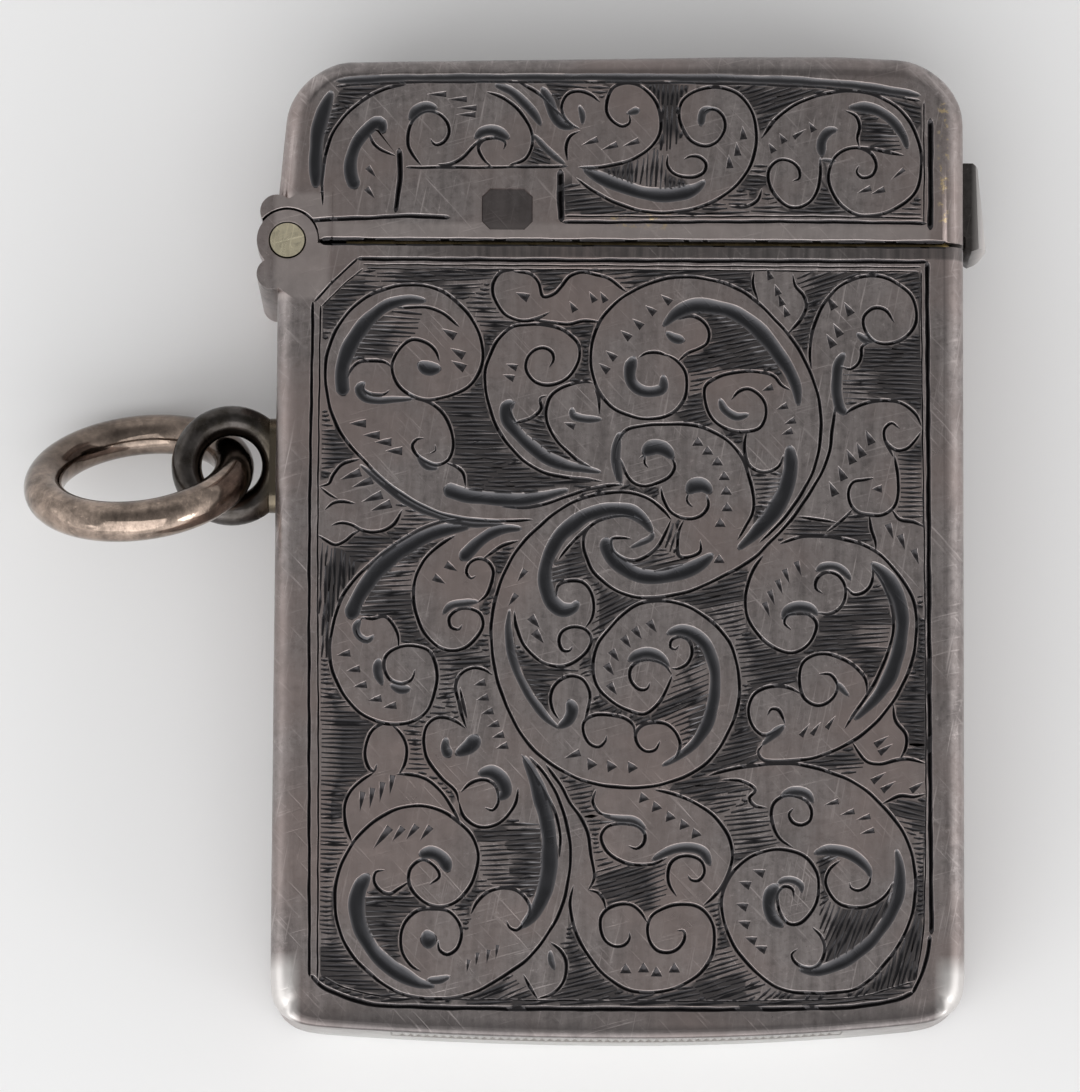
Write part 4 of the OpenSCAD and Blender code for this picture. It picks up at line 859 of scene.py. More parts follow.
LID_FRAME = {
    "top": (0.2, [
        (-14.6, 23.28), (-13, 23.42), (-11, 23.52), (0, 23.59), (6, 23.54), (10, 23.39), (13, 23.1),
        (15.3, 22.7)]),
    "ear seam": (0.2, [
        (PIN_X + EAR_SEAM * math.cos(math.radians(turn)), PIN_Y + EAR_SEAM * math.sin(math.radians(turn)))
        for turn in (165, 140, 115, 90, 65, 40, 15)]),
    "mouth edge": (0.24, [(-15.3, 15.36), (0, 15.36), (16.9, 15.36)]),
    "right": (0.36, [(15.78, 21.8), (15.8, 19), (15.78, 16)]),
    "right fine": (0.13, [(15.45, 22.7), (15.47, 19.5), (15.45, 16.3)]),
    "foot left": (0.28, [(-16.3, 16.3), (-15, 16.37), (-13, 16.46), (-11, 16.57), (-8.7, 16.52)]),
    "foot right": (0.24, [(-3, 16.3), (3, 16.35), (9, 16.4), (15.6, 16.35)]),
    "foot fine": (0.14, [(-2.9, 16.62), (3, 16.62), (9, 16.67), (15.4, 16.62)]),
    "reserve top": (0.2, [(-11, 19.1), (-7, 19.12), (-2.7, 19.2)]),
    "reserve right": (0.42, [(-3.1, 19.05), (-3.08, 17.6), (-3.03, 16.3)]),
    "reserve left": (0.34, [(-11.35, 20.1), (-11.28, 18.6), (-11.5, 16.75)]),
}
LID_GOUGES = {
    "frame top": (0.34, 0.6, 0.6, [
        (-14.6, 23.55), (-13, 23.69), (-11, 23.79), (0, 23.86), (6, 23.81), (10, 23.66), (13, 23.37),
        (15.3, 22.97)]),
    "frame left": (0.6, 1.2, 0.8, [
        (-14.8, 23.05), (-15.1, 22.3), (-15.45, 21.1), (-15.6, 19.45), (-15.57, 18.0)]),
    "left": (0.55, 0.5, 0.3, [
        (-12.1, 20.85), (-12.4, 21.4), (-12.95, 21.05), (-13.5, 20.3), (-13.8, 19.4), (-13.77, 18.6),
        (-13.5, 17.95)]),
    "left curl": (0.42, 0.5, 0.6, [(-10.85, 21.55), (-10.4, 22.1), (-9.9, 22.28), (-9.4, 22.15)]),
    "second curl": (0.46, 0.5, 0.5, [(-7.5, 20.6), (-7.05, 21), (-6.5, 21.05), (-5.7, 20.6)]),
    "bright back": (0.4, 0.6, 0.8, [
        (-6.5, 23.42), (-5.7, 23.12), (-4.95, 22.5), (-4.35, 21.75), (-4.1, 21.3)]),
    "bright stem": (0.32, 0.6, 0.6, [(-4.5, 20.85), (-3.9, 20.2), (-3.3, 19.62), (-2.85, 19.3)]),
    "third curl": (0.5, 0.9, 0.6, [(-4.1, 23.3), (-3.75, 22.7), (-3.45, 21.9), (-3, 21.4), (-2.4, 21.2)]),
    "third eye": (0.3, 0.4, 0.4, [(-2.15, 22.4), (-2, 21.9), (-2, 21.35)]),
    "tear eye": (0.34, 0.5, 0.2, [(0.25, 21.95), (0.95, 22.2)]),
    "belly": (0.58, 1.6, 1.2, [
        (-1.95, 19.1), (-1, 18.58), (0, 18.18), (1, 17.88), (2, 17.73), (3, 17.8), (3.8, 18.08),
        (4.3, 18.5)]),
    "belly eye": (0.36, 0.4, 0.3, [(4.7, 22.25), (4.2, 22.1), (4.05, 21.3)]),
    "right eye": (0.4, 0.4, 0.5, [(10.25, 19.75), (10.25, 20.6), (10.55, 21.05), (11.05, 21.2)]),
    "right bar": (0.2, 0.2, 0.4, [(10.2, 19.62), (11, 19.55)]),
    "right": (0.46, 0.8, 1.2, [
        (11.6, 22.35), (12.4, 22.35), (13.2, 22.12), (13.9, 21.6), (14.4, 20.9), (14.62, 20.2)]),
}
LID_NICKS = [
    (0, 1, 0.34, [(-8.95, 22.9), (-7.9, 22.65), (-7.4, 22.2), (-7.45, 21.85)]),
    (130, 0.7, 0.36, [(-12.95, 19.1), (-13, 18)]),
    (20, 0.9, 0.36, [(-1.2, 20.6), (-0.2, 20.35), (0.9, 20.55)]),
    (-85, 0.7, 0.42, [(6.25, 20.65), (5.95, 19.8), (5.55, 19.15)]),
    (-60, 0.55, 0.4, [(8.35, 20.5), (7.8, 20), (9.85, 21.1)]),
    (20, 0.75, 0.36, [(12.75, 18.15), (13.45, 18.1)]),
    (40, 0.9, 0.28, [(14.45, 19.15)]),
    (215, 0.8, 0.3, [(8.8, 20.75)]),
]
LID_FENCES = []
LID_GROUND = [
    (-13.9, 22.8, -2), (-14.7, 21.9, 5), (-2.2, 23.45, -3), (2.45, 21.4, 88), (1.3, 19, 86),
    (-1.6, 17.2, 6), (2.4, 23.4, 88), (7.2, 23.2, 20), (9.9, 17.4, 0), (13, 21.1, 0), (14.8, 22.6, -15),
    (5.2, 16.9, 2), (-4.3, 19.7, -20), (7.4, 17.4, 0), (14.9, 16.95, 0), (-1.2, 23.4, 0),
]
LID_LEAVES = [
    (-14, 20), (-12.5, 22.2), (-11, 22.6), (-9.5, 22.8), (-7, 21.7), (-5.4, 21), (-10, 21), (-8, 20.6),
    (-12.9, 19.5), (-12.2, 18), (-14.5, 18), (-6.6, 20), (-9, 17.6), (-5, 18.4), (-4, 16.8), (-2.5, 22.2),
    (-1.9, 22.6), (-1.4, 21.8), (-1.4, 20.8), (0, 20.4), (1.2, 21.2), (0.6, 22.8), (-2.2, 20),
    (-1.2, 19.8), (-4.2, 22.2), (-3.4, 20.8), (-3, 20.2), (-2.4, 21), (0, 17.6), (2, 17.2), (4, 17.6),
    (5.4, 18.6), (6.2, 19.6), (6.4, 21), (6, 22.4), (4.6, 22.8), (3.4, 22), (4.6, 21.4), (5, 19.8),
    (3.4, 19.2), (5.6, 20.6), (8, 21.2), (9.4, 22.3), (11, 22.8), (13, 22.6), (14.6, 21.2), (15, 19.5),
    (14.6, 18.4), (13, 17.5), (11.6, 18.2), (11.4, 19.4), (12.6, 19.5), (9.6, 20.6), (8.6, 20.2),
    (8.2, 18.5), (9.4, 18), (10.8, 22), (11.5, 21.2), (13.6, 19.2), (9.9, 19.3), (-5, 19.9), (3.6, 19.9),
]
print(len(LID_LINES) + len(LID_FRAME) + len(LID_GOUGES), "cuts on the lid")

# %% [markdown]
# Filling the ground. The face is covered with a fine grid of cells. Cells under a drawn cut are
# blocked, and each seed floods the free cells round it. The cuts of a patch are then the runs of
# flooded cells along parallel lines, a little uneven in place and length, as a hand leaves them.

# %% Flood fill and hatching
CELL = 0.07
GRID_LOW = np.array([-17.0, -25.0])
GRID_SIZE = (486, 715)
HATCH_PITCH = 0.235
HATCH_WIDTH = 0.205
HATCH_LEAST = 0.3
HATCH_LONGEST = 2.6


def cells_under(path, half):
    """Grid cells within half a width of a path."""
    fine = [path[:1]]
    for a, b in zip(path[:-1], path[1:]):
        count = max(1, math.ceil(np.linalg.norm(b - a) / (0.6 * CELL)))
        fine.append(a + (b - a) * (np.arange(1, count + 1) / count)[:, None])
    fine = (np.vstack(fine) - GRID_LOW) / CELL
    reach = max(0, math.ceil(half / CELL))
    span = np.arange(-reach, reach + 1)
    disc = np.array([(i, j) for i in span for j in span if math.hypot(i, j) * CELL <= half + 0.25 * CELL])
    cells = (np.floor(fine).astype(int)[:, None, :] + disc[None]).reshape(-1, 2)
    inside = ((cells >= 0) & (cells < np.array(GRID_SIZE))).all(1)
    return np.unique(cells[inside, 0] * GRID_SIZE[1] + cells[inside, 1])


def spread(seeds, blocked):
    """The number of the seed that reaches each free cell first, or -1."""
    rows = GRID_SIZE[1]
    owner = np.full(GRID_SIZE[0] * rows, -1)
    waiting = deque()
    for number, (x, y) in enumerate(seeds):
        i, j = np.floor((np.array((x, y)) - GRID_LOW) / CELL).astype(int)
        owner[i * rows + j] = number
        waiting.append(int(i * rows + j))
    while waiting:
        cell = waiting.popleft()
        for near in (cell - 1, cell + 1, cell - rows, cell + rows):
            if owner[near] < 0 and not blocked[near]:
                owner[near] = owner[cell]
                waiting.append(near)
    return owner


def hatch(reached, angle):
    """Parallel cuts over the flooded cells."""
    along = np.array([math.cos(math.radians(angle)), math.sin(math.radians(angle))])
    across = np.array([-along[1], along[0]])
    cells = np.flatnonzero(reached)
    middle = GRID_LOW + (np.stack([cells // GRID_SIZE[1], cells % GRID_SIZE[1]], 1) + 0.5) * CELL
    low, high = (middle @ across).min(), (middle @ across).max()
    left, right_end = (middle @ along).min() - CELL, (middle @ along).max() + CELL
    cuts = []
    level = low + 0.4 * HATCH_PITCH
    while level < high:
        slip = chance.uniform(-0.03, 0.03)
        steps = np.arange(left, right_end, CELL)
        line = steps[:, None] * along + (level + slip) * across
        index = np.floor((line - GRID_LOW) / CELL).astype(int)
        index = np.clip(index, 0, np.array(GRID_SIZE) - 1)
        free = np.concatenate([[False], reached[index[:, 0] * GRID_SIZE[1] + index[:, 1]], [False]])
        starts = np.flatnonzero(free[1:] & ~free[:-1])
        stops = np.flatnonzero(free[:-1] & ~free[1:])
        for a, b in zip(starts, stops):
            if (b - a) * CELL >= HATCH_LEAST:
                cuts += hatch_run(line[a], line[b - 1], across)
        level += HATCH_PITCH * chance.uniform(0.9, 1.12)
    return cuts


def hatch_run(start, stop, across):
    """A line of the ground as one or more short cuts, each a little out of line."""
    length = np.linalg.norm(stop - start)
    ends = [0.0]
    while length - ends[-1] > HATCH_LONGEST:
        ends.append(ends[-1] + chance.uniform(0.4, 0.8) * HATCH_LONGEST)
    ends.append(length)
    cuts = []
    for a, b in zip(ends[:-1], ends[1:]):
        tilt = across * chance.uniform(-0.045, 0.045)
        first = start + (stop - start) * (a / length) - tilt
        last = start + (stop - start) * (b / length) + tilt
        cuts.append(hatch_cut(first, last, across))
    return cuts


def hatch_cut(start, stop, across):
    """One cut of the ground, bowed a little, thin at both ends."""
    count = max(3, 1 + math.ceil(np.linalg.norm(stop - start) / 1.2))
    share = np.linspace(0, 1, count)
    bow = chance.uniform(-0.025, 0.025)
    path = start + (stop - start) * share[:, None] + across * (bow * np.sin(math.pi * share))[:, None]
    width = np.full(count, HATCH_WIDTH * chance.uniform(0.7, 1.08))
    width[[0, -1]] *= 0.45
    return {"tool": "hatch", "path": path, "width": width}


def blocked_cells(strokes, fences):
    """The cells that no seed may enter: those under cuts and fences, and the grid's border."""
    blocked = np.zeros(GRID_SIZE[0] * GRID_SIZE[1], bool)
    for cut in strokes:
        blocked[cells_under(cut["drawn"], 0.42 * float(np.median(cut["width"])))] = True
    for fence in fences:
        blocked[cells_under(smooth_path(fence), 0.05)] = True
    edge = blocked.reshape(GRID_SIZE)
    edge[[0, -1], :] = True
    edge[:, [0, -1]] = True
    return blocked


print(GRID_SIZE[0] * GRID_SIZE[1], "cells on each face")

# %% All the cuts of one face
LINE_WIDTH = 0.23
GOUGE_BROAD = 1.3


def face_cuts(lines, frame_lines, gouges, nicks, fences, ground, leaves):
    """Drawn cuts and hatching of a face, and a map of which seed owns each cell."""
    drawn = [stroke("v", points, width, 0.2, 0.2) for width, points in frame_lines.values()]
    drawn += [stroke("v", points, LINE_WIDTH, 0.7, 0.7) for points in lines.values()]
    for width, rise, fall, points in gouges.values():
        drawn.append(stroke("scoop", points, GOUGE_BROAD * width, rise, fall))
    wedges = [nick(x, y, angle, length, width) for angle, length, width, ends in nicks for x, y in ends]
    blocked = blocked_cells(drawn, fences)
    owner = spread([(x, y) for x, y, angle in ground] + leaves, blocked)
    hatching = []
    for number, (x, y, angle) in enumerate(ground):
        hatching += hatch(owner == number, angle)
    return drawn + wedges + hatching, owner


body_cuts, body_map = face_cuts(
    BODY_LINES, BODY_FRAME, BODY_GOUGES, BODY_NICKS, BODY_FENCES, BODY_GROUND, BODY_LEAVES)
lid_cuts, lid_map = face_cuts(
    LID_LINES, LID_FRAME, LID_GOUGES, LID_NICKS, LID_FENCES, LID_GROUND, LID_LEAVES)
print(len(body_cuts), "cuts on the body,", len(lid_cuts), "on the lid")

# %% [markdown]
# Cutting. A Boolean takes the cuts out of a copy of each shell. Cuts that cross each other would
# confuse it if they were in one mesh, so they are dealt into layers in which nothing touches, and
# each layer is taken away in turn. Each cut is a curve that carries its tool along it.

# %% Layers of cuts that don't touch
LAYER_GAP = 0.05


def deal_layers(cuts):
    """Lists of cuts, in each of which the cuts keep clear of one another."""
    layers = []
    for cut in cuts:
        cells = cells_under(cut["path"], 0.56 * float(cut["width"].max()) + LAYER_GAP)
        for layer in layers:
            if not layer["used"][cells].any():
                break
        else:
            layer = {"used": np.zeros(GRID_SIZE[0] * GRID_SIZE[1], bool), "cuts": []}
            layers.append(layer)
        layer["used"][cells] = True
        layer["cuts"].append(cut)
    return [layer["cuts"] for layer in layers]


def as_shown(thing):
    """A mesh of an object with its modifiers and its bevel worked out."""
    return bpy.data.meshes.new_from_object(thing.evaluated_get(bpy.context.evaluated_depsgraph_get()))


def cutter_mesh(cuts, face, outward):
    """One closed mesh of all the cuts of a layer, on a face whose outside is up or down."""
    whole = bmesh.new()
    for name, tool in tools.items():
        mine = [cut for cut in cuts if cut["tool"] == name]
        if not mine:
            continue
        curve = bpy.data.curves.new("cuts", "CURVE")
        curve.dimensions = "3D"
        curve.twist_mode = "Z_UP"
        curve.bevel_mode = "OBJECT"
        curve.bevel_object = tool
        curve.use_fill_caps = True
        for cut in mine:
            way = curve.splines.new("POLY")
            way.points.add(len(cut["path"]) - 1)
            for point, (x, y), width in zip(way.points, cut["path"], cut["width"]):
                point.co = (x * MM, y * MM, 0, 1)
                point.radius = width
        carrier = bpy.data.objects.new("cuts", curve)
        bpy.context.collection.objects.link(carrier)
        whole.from_mesh(as_shown(carrier))
        bpy.data.objects.remove(carrier)
    bmesh.ops.remove_doubles(whole, verts=whole.verts, dist=1e-7)
    bmesh.ops.scale(whole, vec=(1, 1, outward), verts=whole.verts)
    bmesh.ops.translate(whole, vec=(0, 0, face), verts=whole.verts)
    bmesh.ops.recalc_face_normals(whole, faces=whole.faces)
    mesh = bpy.data.meshes.new("cutter")
    whole.to_mesh(mesh)
    whole.free()
    return mesh


print("cuts of one layer keep", LAYER_GAP, "mm apart")


# %% [markdown]
# The case has settled out of its first shape. Its foot is bowed, with tighter corners, the top of
# the lid runs a little uphill to the right, and the lid's left side leans in. The long edges are
# softly rounded, but along the foot the face runs on almost to the end. The copies of the shells are
# reshaped so before they are cut: points on the round of the foot are pushed towards the square
# corner, and whole ends are bent.

# %% Outline of the face, bent ends and the tight edge at the foot
EDGE_ROUND = 1.1
HALF_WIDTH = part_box("body_front_shell")[1].x / MM
HALF_HEIGHT = -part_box("body_front_shell")[0].y / MM
TOP_ROUND = 3.4
FOOT_ROUND = 4.3
FOOT_POWER = 4.9
LEFT_BOW = 0.0022
RIGHT_BOW = 0.0035
TOP_RUN = [
    (-17.5, -0.2), (-14, -0.26), (-7, -0.12), (0, 0), (6, 0.13), (11, 0.16), (13.5, 0.06), (17.5, -0.2)]
LEFT_LEAN = 0.09
LEAN_FROM = 17.6
LEAN_LEFT_OF = 11
LEAN_WAY = 5
STRIP = 1.5
FOOT_PUSH = 0.35
front_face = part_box("body_front_shell")[1].z
back_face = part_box("body_back_shell")[0].z


def end_shift(x, y):
    """How far the bent ends have moved along the case, in millimetres."""
    near_foot = np.clip((-y - HALF_HEIGHT + FOOT_ROUND) / FOOT_ROUND, 0, 1)
    foot = np.where(x < 0, LEFT_BOW, RIGHT_BOW) * x * x * near_foot
    top_x, top_y = np.array(TOP_RUN).T
    top = np.interp(x, top_x, top_y) * np.clip((y - HALF_HEIGHT + TOP_ROUND) / TOP_ROUND, 0, 1)
    return foot + top


def side_lean(x, y):
    """How far the left side of the lid leans inwards, in millimetres."""
    return LEFT_LEAN * np.maximum(y - LEAN_FROM, 0) * np.clip((-x - LEAN_LEFT_OF) / LEAN_WAY, 0, 1)


def inside_rim(x, y, settled=False):
    """How far points lie inside the rounded outline of the face, in millimetres."""
    if settled:
        x, y = x - side_lean(x, y), y - end_shift(x, y)
    radius = np.where(y < 0, FOOT_ROUND, TOP_ROUND)
    past_x = np.abs(x) - (HALF_WIDTH - radius)
    past_y = np.abs(y) - (HALF_HEIGHT - radius)
    power = np.where((y < 0) & settled, FOOT_POWER, 2)
    corner = (np.maximum(past_x, 0) ** power + np.maximum(past_y, 0) ** power) ** (1 / power)
    return radius - corner - np.minimum(np.maximum(past_x, past_y), 0)


def bend_ends(piece):
    """Cuts a piece into strips, so that it can bend, and bends its ends."""
    form = bmesh.new()
    form.from_mesh(piece.data)
    for x in np.arange(-HALF_WIDTH + STRIP, HALF_WIDTH, STRIP):
        everything = form.verts[:] + form.edges[:] + form.faces[:]
        place = (x * MM, 0, 0)
        bmesh.ops.bisect_plane(form, geom=everything, plane_co=place, plane_no=(1, 0, 0), dist=1e-7)
    for point in form.verts:
        x, y = point.co.x / MM, point.co.y / MM
        over_x = (abs(x) - HALF_WIDTH + FOOT_ROUND) / FOOT_ROUND
        over_y = (-y - HALF_HEIGHT + FOOT_ROUND) / FOOT_ROUND
        if over_x > 0 and over_y > 0:
            reach = math.hypot(over_x, over_y)
            over_x, over_y = (reach * (part / reach) ** (2 / FOOT_POWER) for part in (over_x, over_y))
            x = math.copysign(HALF_WIDTH - FOOT_ROUND + FOOT_ROUND * over_x, x)
            y = -(HALF_HEIGHT - FOOT_ROUND + FOOT_ROUND * over_y)
        point.co.x = (x + float(side_lean(x, y))) * MM
        point.co.y = (y + float(end_shift(np.float64(x), np.float64(y)))) * MM
    form.to_mesh(piece.data)
    form.free()


def points_of(piece):
    """The points of a piece, in millimetres."""
    points = np.empty(len(piece.data.vertices) * 3)
    piece.data.vertices.foreach_get("co", points)
    return points.reshape(-1, 3) / MM


def tighten_foot(piece, face, outward):
    """Squares the rounded edge at the foot, and pushes the front of the foot outwards."""
    points = points_of(piece)
    x, y, z = points.T
    across = 1 - inside_rim(x, y) / EDGE_ROUND
    up = 1 - (face / MM - z) * outward / EDGE_ROUND
    on_round = (y < 0) & (np.abs(np.hypot(across, up) - 1) < 0.02) & (across > 0.002) & (up > 0.002)
    way_x = np.maximum(np.abs(x) - (HALF_WIDTH - FOOT_ROUND), 0)
    way_y = np.maximum(np.abs(y) - (HALF_HEIGHT - FOOT_ROUND), 0)
    length = np.maximum(np.hypot(way_x, way_y), 1e-9)
    tight = 2 / (2 + 8 * np.clip((way_y / length) ** 2 * 2.2 - 1.2, 0, 1))
    push = np.where(on_round, np.abs(across) ** tight - across, 0) * EDGE_ROUND
    lift = np.where(on_round, np.abs(up) ** tight - up, 0) * EDGE_ROUND
    points[:, 0] += np.sign(x) * way_x / length * push
    points[:, 1] -= way_y / length * push
    points[:, 2] += outward * lift
    middle = (front_face + back_face) / 2 / MM
    forward = np.clip((z - middle) / (front_face / MM - middle), 0, 1)
    points[:, 1] -= FOOT_PUSH * forward * np.where(y < 0, np.clip(way_y / FOOT_ROUND, 0, 1), 0)
    piece.data.vertices.foreach_set("co", (points * MM).ravel())
    print("  tighter edge:", int(on_round.sum()), "points of", piece.name)


print(f"face of {2 * HALF_WIDTH:.1f} by {2 * HALF_HEIGHT:.1f} mm")

# %% Take the cuts out of a shell
SLIVER = 0.002
NEAR = 0.5
SHARP_ANGLE = math.radians(35)
LEVEL = 0.9999


def copy_of(node, name):
    """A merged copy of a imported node, free to be changed."""
    form = bmesh.new()
    form.from_mesh(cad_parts[node].data)
    bmesh.ops.remove_doubles(form, verts=form.verts, dist=1e-6)
    mesh = bpy.data.meshes.new(name)
    form.to_mesh(mesh)
    form.free()
    mesh.materials.clear()
    piece = bpy.data.objects.new(name, mesh)
    bpy.context.collection.objects.link(piece)
    return piece


def cut_away(piece, mesh):
    """Takes a closed mesh out of a piece."""
    cutter = bpy.data.objects.new("cutter", mesh)
    bpy.context.collection.objects.link(cutter)
    step = piece.modifiers.new("cut", "BOOLEAN")
    step.operation = "DIFFERENCE"
    step.solver = "MANIFOLD"
    step.object = cutter
    result = as_shown(piece)
    piece.modifiers.clear()
    piece.data = result
    bpy.data.objects.remove(cutter)


def carve(piece, cuts, face, outward):
    """Takes all the cuts out of a piece, and then the slivers without area that they leave."""
    for layer in deal_layers(cuts):
        cut_away(piece, cutter_mesh(layer, face, outward))
    form = bmesh.new()
    form.from_mesh(piece.data)
    bmesh.ops.dissolve_degenerate(form, edges=form.edges, dist=SLIVER * MM)
    form.to_mesh(piece.data)
    form.free()
    print(f"  {piece.name}: {len(cuts)} cuts, {len(piece.data.polygons)} faces")


def cuts_near(cuts, node):
    """The cuts that pass over the box of a node."""
    (x0, y0), (x1, y1) = (corner.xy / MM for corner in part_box(node))
    near = []
    for cut in cuts:
        x, y = cut["path"].T
        if ((x > x0 - NEAR) & (x < x1 + NEAR) & (y > y0 - NEAR) & (y < y1 + NEAR)).any():
            near.append(cut)
    return near


def finish_shell(piece, node, body):
    """Smooths the sides of the cuts and the rims, and puts the copy in its node's place.

    Large faces lead the shading, so that a small cut doesn't tint the long rim beside it.
    """
    piece.data.set_sharp_from_angle(angle=SHARP_ANGLE)
    for polygon in piece.data.polygons:
        polygon.use_smooth = abs(polygon.normal.z) < LEVEL
    even = piece.modifiers.new("even", "WEIGHTED_NORMAL")
    even.keep_sharp = True
    piece.data = as_shown(piece)
    piece.modifiers.clear()
    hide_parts(node)
    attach(piece, body)


# %% [markdown]
# The lid's reserve has a small sunk field with clipped corners and a plain floor. The backs get the
# same scrolls, since such cases are cut alike on both sides. The cheeks and the lid's hinge block
# lie flush with the shells, so the cuts that reach them go on there.

# %% Sunk field and the engraved copies
FIELD_MIDDLE = (-5.8, 16.97)
FIELD_HALF = (1.3, 1.07)
FIELD_CLIP = 0.42
FIELD_DEPTH = 0.16
FIELD_SLOPE = 0.04
FIELD_SHADE = 0.017


def sunk_field(face):
    """A closed prism with clipped corners that reaches below the face."""
    (x, y), (w, h), c = FIELD_MIDDLE, FIELD_HALF, FIELD_CLIP
    outline = [(x - w + c, y - h), (x + w - c, y - h), (x + w, y - h + c), (x + w, y + h - c),
               (x + w - c, y + h), (x - w + c, y + h), (x - w, y + h - c), (x - w, y - h + c)]
    form = bmesh.new()
    corners = [form.verts.new((px * MM, py * MM, face - FIELD_DEPTH * MM)) for px, py in outline]
    floor = form.faces.new(corners)
    raised = bmesh.ops.extrude_face_region(form, geom=[floor])
    top = [item for item in raised["geom"] if isinstance(item, bmesh.types.BMVert)]
    bmesh.ops.translate(form, vec=(0, 0, 2 * FIELD_DEPTH * MM), verts=top)
    for point in form.verts:
        spread_by = 1 + FIELD_SLOPE * (1 if point in top else -1)
        point.co.x = (x + (point.co.x / MM - x) * spread_by) * MM
        point.co.y = (y + (point.co.y / MM - y) * spread_by) * MM
    bmesh.ops.recalc_face_normals(form, faces=form.faces)
    mesh = bpy.data.meshes.new("sunk_field")
    form.to_mesh(mesh)
    form.free()
    return mesh


def engrave(node, name, cuts, face, outward):
    """A copy of a shell, bent as the case has settled and cut."""
    piece = copy_of(node, name)
    if cuts is body_cuts:
        tighten_foot(piece, face, outward)
    bend_ends(piece)
    carve(piece, cuts, face, outward)
    return piece


engraved_body = engrave("body_front_shell", "engraved_body_front", body_cuts, front_face, 1)
engraved_lid = engrave("lid_front_shell", "engraved_lid_front", lid_cuts, front_face, 1)
cut_away(engraved_lid, sunk_field(front_face))
engraved_body_back = engrave("body_back_shell", "engraved_body_back", body_cuts, back_face, -1)
engraved_lid_back = engrave("lid_back_shell", "engraved_lid_back", lid_cuts, back_face, -1)
bent_striker = copy_of("striker_plate", "bent_striker")
bend_ends(bent_striker)
engraved_cheek = copy_of("front_hinge_cheek", "engraved_cheek_front")
carve(engraved_cheek, cuts_near(body_cuts, "front_hinge_cheek"), front_face, 1)
engraved_cheek_back = copy_of("back_hinge_cheek", "engraved_cheek_back")
carve(engraved_cheek_back, cuts_near(body_cuts, "back_hinge_cheek"), back_face, -1)
engraved_block = copy_of("lid_hinge_block", "engraved_hinge_block")
for face, outward in ((front_face, 1), (back_face, -1)):
    carve(engraved_block, cuts_near(lid_cuts, "lid_hinge_block"), face, outward)

# %% [markdown]
# How deep each point lies below the face is kept with the mesh, and so is whether it lies in the
# ground or in a gouge. Old silver is dark where a cloth can't reach, so the finish takes its tarnish
# from these values. They also carry painted shade: the rounded edge of the foot shares the ground's
# value, and the deepest part of each gouge is darkened, partly tarnish and partly painted shade.

# %% Depth of the cuts
DEEPEST = 0.25
SOFT_RIM = 0.95
NO_RIM = -9
PANEL_DEPTH = 0.5
GROUND_DEPTH = 0.3
SCOOP_DEPTH = 0.11
BIG_FLAT = 0.6
EDGE_INSET = 0.7
EDGE_DEPTH = 0.9
EDGE_PAINTED_SHADE = 0.55


def keep_values(piece, name, values):
    """Keeps one number for each point, or the greater one if there is one already."""
    kept = piece.data.attributes.get(name) or piece.data.attributes.new(name, "FLOAT", "POINT")
    before = np.zeros(len(values))
    kept.data.foreach_get("value", before)
    kept.data.foreach_set("value", np.maximum(before, values))


def scooped_cells(cuts):
    """The cells of the face that the scooped gouges take."""
    scooped = np.zeros(GRID_SIZE[0] * GRID_SIZE[1], bool)
    for cut in cuts:
        if cut["tool"] == "scoop":
            for end in range(1, len(cut["path"])):
                half = 0.5 * float(max(cut["width"][end - 1:end + 1]))
                scooped[cells_under(cut["path"][end - 1:end + 1], half)] = True
    return scooped


def keep_depth(piece, face, outward, owner, ground_count, scooped, rim=SOFT_RIM):
    """Keeps the depth of each point, whether it lies in the hatched ground or a gouge, and painted shade
    on the foot's edge.
    """
    points = points_of(piece)
    depth = (face / MM - points[:, 2]) * outward
    off_field = np.abs(points[:, :2] - FIELD_MIDDLE) - FIELD_HALF
    depth = np.where((off_field < 0.02).all(1), np.minimum(depth, FIELD_SHADE), depth)
    inset = inside_rim(points[:, 0], points[:, 1], True)
    in_panel = (inset > rim) & (depth < PANEL_DEPTH)
    cell = np.clip(((points[:, :2] - GRID_LOW) / CELL).astype(int), 0, np.array(GRID_SIZE) - 1)
    cell = cell[:, 0] * GRID_SIZE[1] + cell[:, 1]
    seed = owner[cell]
    in_scoop = in_panel & scooped[cell] & (depth > 0.001)
    keep_values(piece, "depth", np.where(in_panel & ~in_scoop, np.clip(depth / DEEPEST, 0, 1), 0))
    keep_values(piece, "scooped", np.where(in_scoop, np.clip(depth / SCOOP_DEPTH, 0.05, 1), 0))
    in_ground = in_panel & (depth < GROUND_DEPTH) & (seed >= 0) & (seed < ground_count)
    for polygon in piece.data.polygons:
        if polygon.area > BIG_FLAT * MM * MM:
            in_ground[list(polygon.vertices)] = False
    # Painted shade: the rounded edge of the foot takes part of the ground's dark, so that no bright line
    # shows there.
    on_round = (inset < EDGE_INSET) & (depth > 0.002) & (depth < EDGE_DEPTH)
    painted_shade_foot_edge = (points[:, 1] < -HALF_HEIGHT + FOOT_ROUND / 2) & on_round
    keep_values(piece, "ground", np.maximum(in_ground, EDGE_PAINTED_SHADE * painted_shade_foot_edge))


body_scooped = scooped_cells(body_cuts)
lid_scooped = scooped_cells(lid_cuts)
for piece, face, outward in ((engraved_body, front_face, 1), (engraved_body_back, back_face, -1)):
    keep_depth(piece, face, outward, body_map, len(BODY_GROUND), body_scooped)
for piece, face, outward in ((engraved_lid, front_face, 1), (engraved_lid_back, back_face, -1)):
    keep_depth(piece, face, outward, lid_map, len(LID_GROUND), lid_scooped)
for piece, face, outward in ((engraved_cheek, front_face, 1), (engraved_cheek_back, back_face, -1)):
    keep_depth(piece, face, outward, body_map, 0, body_scooped, NO_RIM)
for face, outward in ((front_face, 1), (back_face, -1)):
    keep_depth(engraved_block, face, outward, lid_map, 0, lid_scooped, NO_RIM)
print("depth, ground and gouges are kept on seven pieces")

